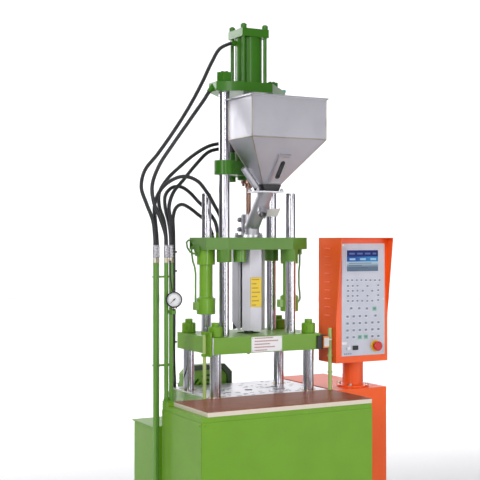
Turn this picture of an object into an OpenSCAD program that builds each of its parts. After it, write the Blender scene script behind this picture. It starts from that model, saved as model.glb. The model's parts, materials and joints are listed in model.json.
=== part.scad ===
// Vertical plastic injection moulding machine: a moving four-bar press on a
// machine bed, an injection unit standing on its upper platen, a hopper with
// its inclined feed tube, and a control box on a post beside the bed.
// Millimetres, +Z up. Every module is drawn about the machine's own axis, and
// placed() moves it so that the origin is the middle of the footprint.

/* [Bed] */
// Height of the bolster's face above the floor
bolster_z = 810; // [780:5:860]
// Thickness of the bolster plate
bolster_t = 50; // [40:1:60]
// Height of the bed's plates above the floor, on its feet
foot_h = 60; // [50:1:90]
// Thickness of the bed's top plate
deck_t = 20; // [15:1:24]
// How far the bolster stands proud of the bed's top plate
bolster_proud = 4; // [2:1:8]
// Distance of the bed's left side from the machine axis
bed_left = 430; // [428:1:436]
// Distance of the bed's right side from the machine axis
bed_right = 313; // [312:1:314]
// Distance of the bed's front from the machine axis
bed_front = 436; // [430:1:470]
// Distance of the bed's back from the machine axis
bed_back = 230; // [228:1:236]
// Width of the bed's square corner posts
post_w = 50; // [40:1:60]
// Thickness of the folded cover panels
panel_t = 2; // [1.5:0.5:3]
// Thickness of the worktop board
worktop_t = 18; // [12:1:25]

/* [Clamp] */
// Clear height between the bolster and the upper platen
daylight = 172; // [130:1:200]
// Thickness of the upper platen
platen_t = 66; // [60:1:72]
// Width of the upper platen
platen_w = 500; // [496:1:506]
// Depth of the upper platen
platen_d = 325; // [322:1:332]
// Diameter of a tie bar
tie_d = 45; // [42:0.5:47]
// Spacing of the tie bars from left to right
tie_dx = 432; // [428:1:436]
// Spacing of the tie bars from front to back
tie_dy = 244; // [240:1:248]
// Thickness of the lower crosshead that joins the tie bars
lower_head_t = 60; // [50:1:70]
// Bore of the clamp cylinder
clamp_bore = 140; // [125:1:150]
// Diameter of the clamp cylinder's rod
clamp_rod_d = 80; // [70:1:90]

/* [Injection carriage] */
// Clear height between the upper platen and the carriage plate
carriage_gap = 345; // [335:1:360]
// Thickness of the carriage plate
carriage_t = 49; // [44:1:54]
// Distance of the columns and guide posts from the axis, left to right
column_x = 155; // [153:1:157]
// Distance of the columns and guide posts from the axis, front to back
column_y = 80; // [79:1:82]
// Diameter of a guide post
guide_d = 40; // [38:0.5:42]
// Diameter of an injection column
column_d = 44; // [42:0.5:46]
// Clear height between the carriage plate and the top plate
column_len = 584; // [570:1:600]
// Thickness of the top plate
top_plate_t = 38; // [34:1:42]
// Distance of the carriage cylinders from the axis
carriage_cyl_x = 197; // [196:1:199]
// Diameter of a carriage cylinder's tube
carriage_tube_d = 55; // [52:1:57]
// Diameter of a carriage cylinder's rod
carriage_rod_d = 37; // [34:1:38]
// Outer width across the flats of the barrel guard
guard_w = 126; // [122:1:128]

/* [Injection unit] */
// Clear height between the carriage plate and the crosshead
crosshead_gap = 252; // [245:1:262]
// Thickness of the crosshead
crosshead_t = 57; // [52:1:62]
// Outer diameter of the injection cylinder's tube
inj_tube_d = 111; // [106:1:114]
// Bore of the injection cylinder
inj_bore = 90; // [80:1:95]
// Length of the injection cylinder's tube
inj_tube_l = 202; // [195:1:215]
// Width of the injection cylinder's square end cap
inj_cap_w = 124; // [122:1:130]
// Diameter of the injection cylinder's rod
inj_rod_d = 45; // [40:1:48]
// Diameter of the screw
screw_d = 24; // [20:1:26]
// Outer diameter of the barrel
barrel_d = 62; // [56:1:66]

/* [Hopper] */
// Width of the hopper
hopper_w = 336; // [320:1:345]
// Depth of the hopper
hopper_d = 194; // [180:1:196]
// Height of the hopper's straight walls
hopper_box_h = 164; // [150:1:170]
// Height of the hopper's sloping part
hopper_cone_h = 175; // [170:1:180]
// Thickness of the hopper's sheet
hopper_wall = 1.5; // [1:0.5:2]
// Width of the hopper's outlet
outlet_w = 82; // [80:1:84]
// Depth of the hopper's outlet
outlet_d = 52; // [48:1:54]
// Outer diameter of the feed tube
feed_d = 60; // [57:1:61]
// Wall of the feed tube
feed_wall = 3; // [2:0.5:4]

/* [Control box] */
// Width of the control box
box_w = 261; // [250:1:270]
// Depth of the control box below its hood
box_d = 135; // [120:1:140]
// Height of the control box
box_h = 522; // [510:1:540]
// How far the hood stands forward at the top
hood_d = 42; // [30:1:50]
// Height of the post above the bed's level
post_h = 110; // [100:1:130]
// Diameter of the post
post_d = 89; // [80:1:92]

/* [Hidden] */
$fn = 48;

// Clearances: a shaft that runs in a bore, a piece seated in its hole, faces that pass
run_fit = 0.06;
seat_fit = 0.1;
pass_gap = 1;

// Heights, from the floor up
deck_z = bolster_z - bolster_proud;
board_z = bolster_z - worktop_t;
platen_z = bolster_z + daylight;
platen_top = platen_z + platen_t;
plate_z = platen_top + carriage_gap;
plate_top = plate_z + carriage_t;
head_z = plate_top + crosshead_gap;
head_top = head_z + crosshead_t;
top_z = plate_top + column_len;
top_face = top_z + top_plate_t;
cap_z = top_face + inj_tube_l;
cap_t = 33;

// Edges of the bolster and of the bed's top
bolster_x0 = 251;
bolster_x1 = 297;
bolster_y1 = 225;
worktop_y = -143;
corner_x = 251;
corner_y = 90;
beam_x = 122;

// Footprint, used to put the origin in its middle
cabinet_w = 253;
cabinet_x0 = bed_right;
cabinet_x1 = cabinet_x0 + cabinet_w;
cabinet_y0 = -186;
cabinet_y1 = 306;
box_x0 = 314;
pipe_r = 8;
pipe_a = [-462, -92];
pipe_b = [-446, -76];
tank_back = 462;
foot_left = pipe_a[0] - pipe_r;
foot_right = box_x0 + box_w;
axis_x = -(foot_left + foot_right) / 2;
axis_y = (bed_front + panel_t - tank_back) / 2;

tie_x = tie_dx / 2;
bush_d = tie_d + 19;
flange_r = 51.5;
tie_y = tie_dy / 2;
tie_stub_d = 31;
tie_nut_d = 57;
tie_nut_h = 41;
tie_stub_h = 16;
lower_head_z = 300;
lower_head_top = lower_head_z + lower_head_t;
lower_nut_h = 40;
clamp_flange_t = 25;
clamp_tube_l = 260;
clamp_tube_z = bolster_z - bolster_t - clamp_flange_t - clamp_tube_l;

boss_d = 61;
boss_h = 50;
head_boss_r = 40;
head_arm_w = 74;
hub_r = 62;
hub_h = 44;
motor_x = -43;
motor_y = 60;
motor_r = 34;
gland_h = 8;

outlet_x = 13;
outlet_y = -145;
base_z = plate_top + 180;
base_t = 6;
collar_h = 27;
cone_z = base_z + base_t + collar_h;
hopper_x = 12;
hopper_y = -217;
seam_z = cone_z + hopper_cone_h;
rim_z = seam_z + hopper_box_h;
elbow_y = -30;
elbow_z = plate_top + 46;

post_x = 453;
post_y = -100;
box_z = bolster_z + post_h;
box_y0 = -182;
hinge_gap = 0.3;
post_bolt_r = 60;

function unit(v) = v / norm(v);
// Ring of points of radius r round p, square to direction d
function ring(p, d, r, n, ref) =
    let (u = unit(cross(ref, d)), v = cross(d, u))
    [for (i = [0:n - 1]) let (a = 360 * i / n) p + r * (cos(a) * u + sin(a) * v)];
// Direction of a route at point k: the mean of the stretches that meet there,
// or the stated direction at an end, so that the end lies flat on its port
function heading(pts, k, first, last) =
    k == 0 ? (is_undef(first) ? unit(pts[1] - pts[0]) : first)
    : k == len(pts) - 1 ? (is_undef(last) ? unit(pts[k] - pts[k - 1]) : last)
    : unit(unit(pts[k] - pts[k - 1]) + unit(pts[k + 1] - pts[k]));

module placed() translate([axis_x, axis_y, 0]) children();
module at(x, y, z = 0) translate([x, y, z]) children();
module four(dx, dy) for (sx = [-1, 1], sy = [-1, 1]) translate([sx * dx, sy * dy, 0]) children();

// A round bar or hose swept along a route of points
module swept(pts, r, n = 8, first = undef, last_dir = undef, ref = [0.05, 1, 0.02]) {
    rings = [for (k = [0:len(pts) - 1]) each ring(pts[k], heading(pts, k, first, last_dir), r, n, ref)];
    last = n * (len(pts) - 1);
    sides = [for (k = [0:len(pts) - 2], i = [0:n - 1])
        let (j = (i + 1) % n) [k * n + i, (k + 1) * n + i, (k + 1) * n + j, k * n + j]];
    polyhedron(rings, concat([[for (i = [0:n - 1]) i]], sides, [[for (i = [n - 1:-1:0]) last + i]]));
}
module hex_nut(flats, h, bore) difference() {
    cylinder(d = flats / cos(30), h = h, $fn = 6);
    at(0, 0, -1) cylinder(d = bore, h = h + 2);
}
module cap_screw(d, h) {
    cylinder(d = d * 1.6, h = h);
}
module box_between(a, b) translate(a) cube(b - a);

// Outline of the bed: its back left corner is cut off where the pipes pass
module deck_outline() polygon([[-bed_left, -bed_front], [bed_right, -bed_front],
    [bed_right, bed_back], [-corner_x, bed_back], [-bed_left, -corner_y]]);

module bed_frame() color("yellowgreen") placed() {
    top = board_z - deck_t;
    rail_h = 60;
    posts = [[-bed_left, -bed_front], [bed_right - post_w, -bed_front], [-bed_left, -corner_y - post_w],
        [bed_right - post_w, bed_back - post_w], [-corner_x, bed_back - post_w]];
    difference() {
        union() {
            at(0, 0, top) linear_extrude(deck_t) deck_outline();
            at(0, 0, board_z - 1) linear_extrude(deck_z - board_z + 1) intersection() {
                deck_outline();
                translate([-bed_left - 1, worktop_y]) square([bed_left + bed_right + 2, bed_back - worktop_y + 1]);
            }
            for (c = posts)
                box_between([c[0], c[1], foot_h], [c[0] + post_w, c[1] + post_w, top + 1]);
            // rails at the floor and under the top
            for (z = [foot_h, top - rail_h + 1]) {
                box_between([-bed_left, -bed_front, z], [bed_right, -bed_front + post_w, z + rail_h]);
                box_between([-corner_x, bed_back - post_w, z], [bed_right, bed_back, z + rail_h]);
                box_between([-bed_left, -bed_front, z], [-bed_left + post_w, -corner_y, z + rail_h]);
                box_between([bed_right - post_w, -bed_front, z], [bed_right, bed_back, z + rail_h]);
            }
            // beams from front to back that carry the bolster
            for (x = [-beam_x - post_w, beam_x])
                box_between([x, -bed_front + 1, bolster_z - bolster_t - 70],
                    [x + post_w, bed_back - 1, bolster_z - bolster_t]);
        }
        // seat of the bolster and bores for the front bushes in the top plate
        four(tie_x, tie_y) at(0, 0, bolster_z - bolster_t) cylinder(d = bush_d + 2 * seat_fit, h = bolster_t + 1);
        box_between([-bolster_x0 - seat_fit, worktop_y - 8, bolster_z - bolster_t],
            [bolster_x1 + seat_fit, bolster_y1 + seat_fit, bolster_z + 1]);
    }
}

// One folded cover panel with its row of fixing holes, lying in the XZ plane
module panel_sheet(w, h) difference() {
    cube([w, panel_t, h]);
    for (x = [12, w - 12], z = [12, h / 2, h - 12])
        translate([x, -1, z]) rotate([-90, 0, 0]) cylinder(d = 6, h = panel_t + 2, $fn = 24);
}
panel_top = board_z - deck_t;
module front_panel() color("yellowgreen") placed()
    at(-bed_left, -bed_front - panel_t, foot_h) panel_sheet(bed_left + bed_right, panel_top - foot_h);
// Left, slanted, back and right covers; the side cabinet hides the rest of the right side
module side_panels() color("yellowgreen") placed() {
    corner = [bed_left - corner_x, bed_back + corner_y];
    at(-bed_left, -bed_front, foot_h) rotate([0, 0, 90]) panel_sheet(bed_front - corner_y, panel_top - foot_h);
    at(-bed_left, -corner_y, foot_h) rotate([0, 0, atan2(corner[1], corner[0])])
        translate([4, 0, 0]) panel_sheet(norm(corner) - 8, panel_top - foot_h);
    at(-corner_x, bed_back, foot_h) panel_sheet(bed_right + corner_x, panel_top - foot_h);
    at(bed_right, cabinet_y0 - 4, foot_h) rotate([0, 0, -90])
        panel_sheet(bed_front + cabinet_y0 - 4, panel_top - foot_h);
}

module levelling_feet() color("dimgray") placed()
    for (p = [[-bed_left + 32, -bed_front + 32], [bed_right - 32, -bed_front + 32],
        [-bed_left + 32, -corner_y - 32], [bed_right - 32, bed_back - 32], [-corner_x + 32, bed_back - 32],
        [cabinet_x1 - 32, cabinet_y0 + 50], [cabinet_x1 - 32, cabinet_y1 - 32],
        [-288, tank_back - 32], [198, tank_back - 32]])
        at(p[0], p[1]) {
            cylinder(d = 60, h = 12);
            at(0, 0, 12) cylinder(d1 = 50, d2 = 26, h = 8);
            at(0, 0, 12) cylinder(d = 16, h = foot_h - 12);
            at(0, 0, foot_h - 16) hex_nut(24, 10, 16);
        }

module worktop() color("sienna") placed() difference() {
    box_between([-406, -bed_front - panel_t, board_z], [bed_right, worktop_y, bolster_z]);
    at(right_rod[0], right_rod[1], board_z - 1) cylinder(d = right_rod_d + 2 * seat_fit, h = worktop_t + 2);
    four(tie_x, tie_y) at(0, 0, board_z - 1) cylinder(d = bush_d + 2 * seat_fit, h = worktop_t + 2);
}

// Places and diameters of the two stop rods
left_rod = [-platen_w / 2 - 13, -120];
left_rod_d = 14;
right_rod = [platen_w / 2 + 52, -154];
right_rod_d = 16;

module bolster() color("silver") placed() difference() {
    box_between([-bolster_x0, worktop_y, bolster_z - bolster_t], [bolster_x1, bolster_y1, bolster_z]);
    four(tie_x, tie_y) at(0, 0, bolster_z - bolster_t - 1) cylinder(d = bush_d + 2 * seat_fit, h = bolster_t + 2);
    // knock-out hole and tapped holes for a mould
    at(0, 0, bolster_z - bolster_t - 1) cylinder(d = 36, h = bolster_t + 2);
    for (x = [-140, -70, 70, 140], y = [-100, -50, 50, 100]) at(x, y, bolster_z - 30) cylinder(d = 12, h = 31, $fn = 24);
    // open slots at the sides
    for (s = [-1, 1], y = [-30, 30]) hull() for (x = [105, 150])
        at(s * x, y, bolster_z - 20) cylinder(d = 18, h = 21, $fn = 24);
    for (x = [-170, 0, 170]) at(x, 190, bolster_z - 30) cylinder(d = 16, h = 31, $fn = 24);
}

module tie_bar_bushes() color("peru") placed() four(tie_x, tie_y) at(0, 0, bolster_z - bolster_t) difference() {
    union() {
        cylinder(d = bush_d, h = bolster_t);
        at(0, 0, -12) cylinder(d = bush_d + 16, h = 12);
    }
    at(0, 0, -13) cylinder(d = tie_d + 2 * run_fit, h = bolster_t + 14);
}

module side_cabinet() color("orangered") placed() {
    difference() {
        union() {
            box_between([cabinet_x0, cabinet_y0, foot_h], [cabinet_x1, cabinet_y1, bolster_z]);
            // vent louvres low on the right side
            for (i = [0:9]) at(cabinet_x1, 60, 300 + 22 * i) rotate([-90, 0, 0]) cylinder(r = 5, h = 120, $fn = 24);
        }
        // plinth recess along the floor
        box_between([cabinet_x0 - 1, cabinet_y0 - 1, foot_h - 1], [cabinet_x1 + 1, cabinet_y0 + 15, foot_h + 50]);
        // seats of the post's bolts
        for (a = [45:90:315]) at(post_x, post_y, bolster_z - 25) rotate([0, 0, a]) at(post_bolt_r, 0) cylinder(d = 10, h = 26, $fn = 24);
    }
}

module control_post() color("orangered") placed() at(post_x, post_y, bolster_z) difference() {
    union() {
        cylinder(d = post_d, h = post_h - hinge_gap);
        cylinder(d = 136, h = 8);
        at(0, 0, 8) cylinder(d1 = post_d + 12, d2 = post_d, h = 6);
    }
    at(0, 0, post_h - 70) cylinder(d = post_d - 8, h = 71);
    for (a = [45:90:315]) rotate([0, 0, a]) at(post_bolt_r, 0, -1) cylinder(d = 10, h = 10, $fn = 24);
}
module post_bolts() color("dimgray") placed() at(post_x, post_y, bolster_z) for (a = [45:90:315]) rotate([0, 0, a]) at(post_bolt_r, 0) {
    at(0, 0, 8) cylinder(d = 16, h = 8, $fn = 6);
    at(0, 0, -20) cylinder(d = 9.8, h = 28, $fn = 24);
}

motor_axis_z = 768;
tank_top = motor_axis_z - 122;
loom_foot = [-218, 264];
motor_cx = -37;
module oil_tank() color("yellowgreen") placed() {
    tank_y0 = bed_back + panel_t + 4;
    difference() {
        union() {
            box_between([-320, tank_y0, foot_h], [230, tank_back, tank_top - 6]);
            box_between([-330, tank_y0, tank_top - 6], [240, tank_back, tank_top]);
            // filler and breather
            at(180, 400, tank_top - 1) {
                cylinder(d = 30, h = 19);
                at(0, 0, 19) cylinder(d = 62, h = 34);
                at(0, 0, 53) cylinder(d1 = 62, d2 = 50, h = 6);
            }
            at(loom_foot[0], loom_foot[1], tank_top - 1) cylinder(d = 24, h = gland_h + 8, $fn = 6);
        }
        // level window sunk in the back
        at(160, tank_back + 1, 400) rotate([90, 0, 0]) cylinder(d = 60, h = 8);
    }
}
motor_y0 = 300;
cowl_w = 235;
cowl_l = 50;
module pump_motor() color("green") placed() at(motor_cx, 0, motor_axis_z) {
    at(0, motor_y0 + 26) rotate([-90, 0, 0]) cylinder(d = 176, h = 104);
    for (a = [0:15:345]) rotate([0, a, 0])
        box_between([82, motor_y0 + 50, -1.5], [97, motor_y0 + 126, 1.5]);
    box_between([-60, motor_y0 + 60, tank_top - motor_axis_z], [60, motor_y0 + 120, -60]);
    // flange that the cowl is screwed on
    at(0, motor_y0 + cowl_l) rotate([-90, 0, 0]) cylinder(d = cowl_w - 9, h = 8);
    at(0, motor_y0 + 17) rotate([-90, 0, 0]) cylinder(d = 28, h = 10);
    // pump bolted on behind the motor
    at(0, motor_y0 + 129) rotate([-90, 0, 0]) {
        cylinder(d1 = 140, d2 = 96, h = 14);
        at(0, 0, 13) cylinder(d = 78, h = tank_back - motor_y0 - 142);
    }
}
module cowl_outline(w, c) polygon([for (q = [[-1, -1], [1, -1], [1, 1], [-1, 1]], k = [0, 1])
    let (cut = q[0] * q[1] > 0 ? 1 - k : k) [q[0] * (w / 2 - c * (1 - cut)), q[1] * (w / 2 - c * cut)]]);
module motor_cowl() color("darkolivegreen") placed()
    at(motor_cx, motor_y0, motor_axis_z) rotate([-90, 0, 0]) difference() {
        linear_extrude(cowl_l) cowl_outline(cowl_w, 36);
        at(0, 0, -1) linear_extrude(11) cowl_outline(cowl_w - 46, 26);
        // air inlet with its grille of three rings and six spokes
        for (r = [24, 44, 64], a = [0:60:300]) rotate([0, 0, a + 8]) at(0, 0, 9)
            rotate_extrude(angle = 44) translate([r, 0]) square([10, 8]);
        at(0, 0, 16) cylinder(d = 200, h = cowl_l);
    }

// Steel pipes up the left side: two pass outside the bed, four stand on its top
pipe_top = 1343;
pipe_c = [-412, -84];
pipe_d = [-391, -84];
pipe_e = [-399, -58];
pipe_f = [-378, -58];
module steel_pipes() color("limegreen") placed() {
    for (p = [pipe_a, pipe_b]) at(p[0], p[1], 176) cylinder(r = pipe_r, h = pipe_top - 176, $fn = 24);
    // bulkhead block on the bed's left side
    box_between([pipe_a[0] - pipe_r, pipe_a[1] - 14, 130], [-bed_left - panel_t, pipe_b[1] + 14, 177]);
    for (p = [pipe_c, pipe_d, pipe_e, pipe_f]) at(p[0], p[1], deck_z) {
        cylinder(r = pipe_r, h = pipe_top - deck_z, $fn = 24);
        cylinder(d = 20, h = 12, $fn = 6);
    }
    // clamp bars that tie the pipes together, and the gauge's tee on one of them
    for (z = [940, 1285]) box_between([pipe_a[0], -80, z], [pipe_f[0], -64, z + 8]);
    box_between([gauge_at[0] - 6, -116, gauge_at[2] - 56], [gauge_at[0] + 12, -76, gauge_at[2] - 42]);
}
module pipe_ferrules() color("silver") placed() for (p = [pipe_a, pipe_b, pipe_c, pipe_d, pipe_e, pipe_f])
    at(p[0], p[1], pipe_top) {
        cylinder(d = 15, h = 20, $fn = 6);
        at(0, 0, 20) cylinder(d = 18, h = 46, $fn = 24);
        at(0, 0, 66) cylinder(d = 16, h = 4, $fn = 24);
    }

gauge_at = [-396, -124, 1201];
gauge_yaw = -28;
module gauge_frame() placed() translate(gauge_at) rotate([0, 0, gauge_yaw]) rotate([90, 0, 0]) children();
module pressure_gauge() color("gray") gauge_frame() {
    difference() {
        union() {
            at(0, 0, -14) cylinder(d = 58, h = 22);
            at(0, 0, 2) cylinder(d = 62, h = 6);
        }
        cylinder(d = 55, h = 9);
    }
    cylinder(d = 6, h = 2.5, $fn = 24);
    // stem down to the tee
    at(0, -27, -7) rotate([90, 0, 0]) cylinder(d = 11, h = 15, $fn = 24);
}
module gauge_needle() color("black") gauge_frame() at(0, 0, 2.8) rotate([0, 0, 135]) {
    cylinder(d = 6, h = 1.6, $fn = 24);
    linear_extrude(1.2) polygon([[-1.6, -7], [1.6, -7], [0.5, 21], [-0.5, 21]]);
}

module stop_rods() color("yellowgreen") placed() {
    at(left_rod[0], left_rod[1], deck_z) cylinder(d = left_rod_d, h = bolster_z + 249 - deck_z, $fn = 24);
    at(right_rod[0], right_rod[1], board_z) cylinder(d = right_rod_d, h = bolster_z + 256 - board_z, $fn = 24);
    for (h = [70, 138])
        at(right_rod[0], right_rod[1], bolster_z + h) cylinder(d = right_rod_d + 5, h = 8, $fn = 24);
}

module clamp_cylinder() color("gray") placed() at(0, 0, clamp_tube_z) difference() {
    union() {
        cylinder(d = clamp_bore + 50, h = clamp_tube_l);
        at(0, 0, clamp_tube_l) cylinder(d = clamp_bore + 90, h = clamp_flange_t);
        cylinder(d = clamp_bore + 66, h = 40);
    }
    at(0, 0, 40) cylinder(d = clamp_bore, h = clamp_tube_l - 35);
    at(0, 0, -1) cylinder(d = clamp_rod_d + 2 * run_fit, h = clamp_tube_l);
    for (a = [30:60:330]) rotate([0, 0, a]) at(clamp_bore / 2 + 34, 0, clamp_tube_l - 1)
        cylinder(d = 11, h = clamp_flange_t + 2, $fn = 24);
}
module clamp_piston_rod() color("lightgray") placed() {
    at(0, 0, lower_head_top) cylinder(d = clamp_rod_d, h = clamp_tube_z + 112 - lower_head_top);
    at(0, 0, clamp_tube_z + 110) cylinder(d = clamp_bore - 2 * seat_fit, h = 45);
    at(0, 0, lower_head_z + 10) cylinder(d = 40, h = lower_head_t);
}
module lower_crosshead() color("yellowgreen") placed() at(0, 0, lower_head_z) difference() {
    union() {
        linear_extrude(lower_head_t) offset(r = 12) square([tie_dx + 60, tie_dy + 60], center = true);
        at(0, 0, lower_head_t - 1) cylinder(d = 60, h = 1);
    }
    four(tie_x, tie_y) at(0, 0, -1) cylinder(d = tie_stub_d + 3 + 2 * seat_fit, h = lower_head_t + 2);
    at(0, 0, 8) cylinder(d = 40 + 2 * seat_fit, h = lower_head_t);
}

module tie_bars() color("lightgray") placed() four(tie_x, tie_y) difference() {
    union() {
        at(0, 0, lower_head_z + lower_head_t) cylinder(d = tie_d, h = platen_z - lower_head_z - lower_head_t);
        at(0, 0, lower_head_z - lower_nut_h - 10) cylinder(d = tie_stub_d + 3, h = lower_head_t + lower_nut_h + 11);
        at(0, 0, platen_z - 1) cylinder(d = tie_stub_d + 3, h = platen_t + tie_nut_h + 1 - 2);
    }
    at(0, 0, platen_z - 52) difference() {
        cylinder(d = tie_d + 2, h = 3);
        at(0, 0, -1) cylinder(d = tie_d - 1.4, h = 5);
    }
}
module round_nut(d, h, bore) difference() {
    union() {
        cylinder(d1 = d - 4, d2 = d, h = 2);
        at(0, 0, 2) cylinder(d = d, h = h - 5);
        at(0, 0, h - 3) cylinder(d1 = d, d2 = d - 6, h = 3);
    }
    at(0, 0, -1) cylinder(d = bore, h = h + 2);
    // tommy bar holes
    for (a = [45:90:315]) rotate([0, 0, a]) at(d / 2 - 6, 0, h / 2) rotate([0, 90, 0]) cylinder(d = 7, h = 8, $fn = 24);
}
module tie_bar_nuts() color("yellowgreen") placed() {
    four(tie_x, tie_y) at(0, 0, platen_top) {
        round_nut(tie_nut_d, tie_nut_h, tie_stub_d + 3 + 2 * seat_fit);
        // closed end of the nut, with its key socket
        at(0, 0, tie_nut_h - 1.5) difference() {
            union() {
                cylinder(d = tie_stub_d + 4, h = 1.5);
                cylinder(d = tie_stub_d, h = tie_stub_h);
                at(0, 0, tie_stub_h) cylinder(d1 = tie_stub_d, d2 = tie_stub_d - 3, h = 1.5);
            }
            at(0, 0, tie_stub_h - 7) cylinder(d = 8, h = 9, $fn = 6);
        }
    }
    four(tie_x, tie_y) at(0, 0, lower_head_z - lower_nut_h) round_nut(tie_nut_d, lower_nut_h, tie_stub_d + 3 + 2 * seat_fit);
}

nozzle_hole_d = 96;
module upper_platen() color("yellowgreen") placed() at(0, 0, platen_z) difference() {
    box_between([-platen_w / 2, -platen_d / 2, 0], [platen_w / 2, platen_d / 2, platen_t]);
    four(tie_x, tie_y) at(0, 0, -1) cylinder(d = tie_stub_d + 3 + 2 * seat_fit, h = platen_t + 2);
    four(column_x, column_y) at(0, 0, 12) cylinder(d = guide_d + 2 * seat_fit, h = platen_t);
    for (s = [-1, 1]) at(s * carriage_cyl_x, 0, 20) cylinder(d = 24 + 2 * seat_fit, h = platen_t);
    at(0, 0, 30) cylinder(d = nozzle_hole_d, h = platen_t);
    at(0, 0, -1) cylinder(d = 60 + 2 * seat_fit, h = 32);
    for (x = [-90, 90], y = [-60, 60]) at(x, y, -1) cylinder(d = 12, h = 26, $fn = 24);
}
module locating_ring() color("silver") placed() at(0, 0, platen_z) difference() {
    cylinder(d = 60, h = 14);
    at(0, 0, -1) cylinder(d = 40, h = 16);
}
module notice_plate() color("white") placed()
    box_between([-76, -platen_d / 2 - 1.5, platen_z + 3], [65, -platen_d / 2, platen_z + platen_t - 3]);

module rod_brackets() color("yellowgreen") placed() {
    // guide lugs of the left rod, on the platen's front left corner
    at(0, 0, platen_z - 8) difference() {
        union() {
            box_between([-platen_w / 2 - 6, -platen_d / 2 + 3, 0], [-platen_w / 2, -platen_d / 2 + 61, platen_t + 30]);
            for (z = [0, platen_t + 20]) hull() {
                at(left_rod[0], left_rod[1], z) cylinder(d = 26, h = 10, $fn = 32);
                box_between([-platen_w / 2 - 6, -133, z], [-platen_w / 2 - 1, -107, z + 10]);
            }
        }
        at(left_rod[0], left_rod[1], -1) cylinder(d = left_rod_d + 2 * pass_gap, h = platen_t + 40);
    }
}
module limit_switch() color("dimgray") placed() at(0, 0, platen_z) {
    box_between([platen_w / 2 - 20, -platen_d / 2 - 8, 2], [platen_w / 2 + 4, -platen_d / 2, 56]);
    difference() {
        hull() {
            box_between([platen_w / 2 + 4, -platen_d / 2 - 10, 4], [platen_w / 2 + 30, -platen_d / 2 + 14, 54]);
            box_between([platen_w / 2 + 4, -platen_d / 2 - 8, 0], [platen_w / 2 + 24, -platen_d / 2 + 12, 58]);
        }
        box_between([platen_w / 2 + 6, -platen_d / 2 - 11, 14], [platen_w / 2 + 28, -platen_d / 2 - 9, 44]);
    }
}

guide_top = plate_top + 183;
short_guide_top = plate_top - 27;
module guide_posts() color("lightgray") placed() for (s = [-1, 1]) {
    at(s * column_x, -s * column_y, platen_z + 12) {
        cylinder(d = guide_d, h = guide_top - platen_z - 12 - 2);
        at(0, 0, guide_top - platen_z - 14) cylinder(d1 = guide_d, d2 = guide_d - 4, h = 2);
    }
    at(s * column_x, s * column_y, platen_z + 12) cylinder(d = guide_d, h = short_guide_top - platen_z - 12);
}

cyl_head_h = 61;
cyl_foot_h = 65;
cyl_foot_z = platen_top + 83;
module carriage_piston_rods() color("lightgray") placed() for (s = [-1, 1]) at(s * carriage_cyl_x, 0) difference() {
    union() {
        at(0, 0, platen_z + 22) cylinder(d = 24, h = platen_t);
        at(0, 0, platen_top) cylinder(d = carriage_rod_d, h = cyl_foot_z + 100 - platen_top);
        at(0, 0, cyl_foot_z + 95) cylinder(d = carriage_tube_d - 10 - 2 * seat_fit, h = 25);
    }
    // wrench hole
    at(0, 0, platen_top + 30) rotate([90, 0, -30]) cylinder(d = 9, h = 60, center = true);
}
module carriage_cylinders() color("yellowgreen") placed() for (s = [-1, 1]) at(s * carriage_cyl_x, 0) difference() {
    union() {
        at(0, 0, plate_z - cyl_head_h) cylinder(d = 75, h = cyl_head_h);
        at(0, 0, cyl_foot_z + 2) cylinder(d = carriage_tube_d, h = plate_z - cyl_head_h - cyl_foot_z - 1);
        at(0, 0, cyl_foot_z) cylinder(d1 = 73, d2 = 77, h = 2);
        at(0, 0, cyl_foot_z + 2) cylinder(d = 77, h = cyl_foot_h - 2);
        at(0, 0, cyl_foot_z + cyl_foot_h) cylinder(d1 = 70, d2 = carriage_tube_d, h = 6);
        box_between([-54, -12, cyl_foot_z + 18], [-30, 12, cyl_foot_z + 50]);
    }
    at(0, 0, cyl_foot_z + 20) cylinder(d = carriage_tube_d - 10, h = plate_z - cyl_foot_z - 40);
    at(0, 0, cyl_foot_z - 1) cylinder(d = carriage_rod_d + 2 * run_fit, h = 30);
}

plate_end_x = carriage_cyl_x + 38;
module carriage_outline() polygon([[-plate_end_x, -80], [-150, -110], [150, -110], [plate_end_x, -80],
    [plate_end_x, 80], [150, 110], [-150, 110], [-plate_end_x, 80]]);
module carriage_plate() color("yellowgreen") placed() difference() {
    union() {
        at(0, 0, plate_z) linear_extrude(carriage_t) carriage_outline();
        four(column_x, column_y) at(0, 0, plate_z - boss_h) cylinder(d = boss_d, h = boss_h + 1);
        // lug on the left end face
        at(-plate_end_x - 6, 0, plate_z) rotate([90, 0, 90]) linear_extrude(6.2)
            polygon([[22, 14], [22, 1], [10, -26], [-14, -26], [-24, 1], [-24, 14]]);
    }
    four(column_x, column_y) {
        at(0, 0, plate_z - boss_h - 1) cylinder(d = guide_d + 2 * run_fit, h = boss_h + carriage_t - 20);
        // relief for the wiper lip
        at(0, 0, plate_z - boss_h - 1) cylinder(d = guide_d + 6, h = 5);
    }
    for (s = [-1, 1]) at(s * column_x, -s * column_y, plate_z) cylinder(d = guide_d + 2 * run_fit, h = carriage_t + 1);
    for (s = [-1, 1]) at(s * column_x, s * column_y, plate_top - 18) cylinder(d = 30 + 2 * seat_fit, h = 19);
    // the left end is cut off at a slant behind
    at(-plate_end_x, 0, plate_z) rotate([90, 0, 90]) translate([0, 0, -1]) linear_extrude(18)
        polygon([[22, -1], [81, -1], [81, carriage_t + 1], [78, carriage_t + 1]]);
    at(-plate_end_x - 3, -9, plate_z - 15) rotate([0, 90, 0]) cylinder(d = 9, h = 12, $fn = 24, center = true);
    at(0, 0, plate_z - 1) cylinder(d = barrel_d + 2 * seat_fit, h = carriage_t + 2);
}
port_up = [-100, 35, 1462];
port_down = [-110, 66, 1462];
port_loom = [-118, 97, 1452];
pipe_end_x = carriage_cyl_x + 47;
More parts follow.
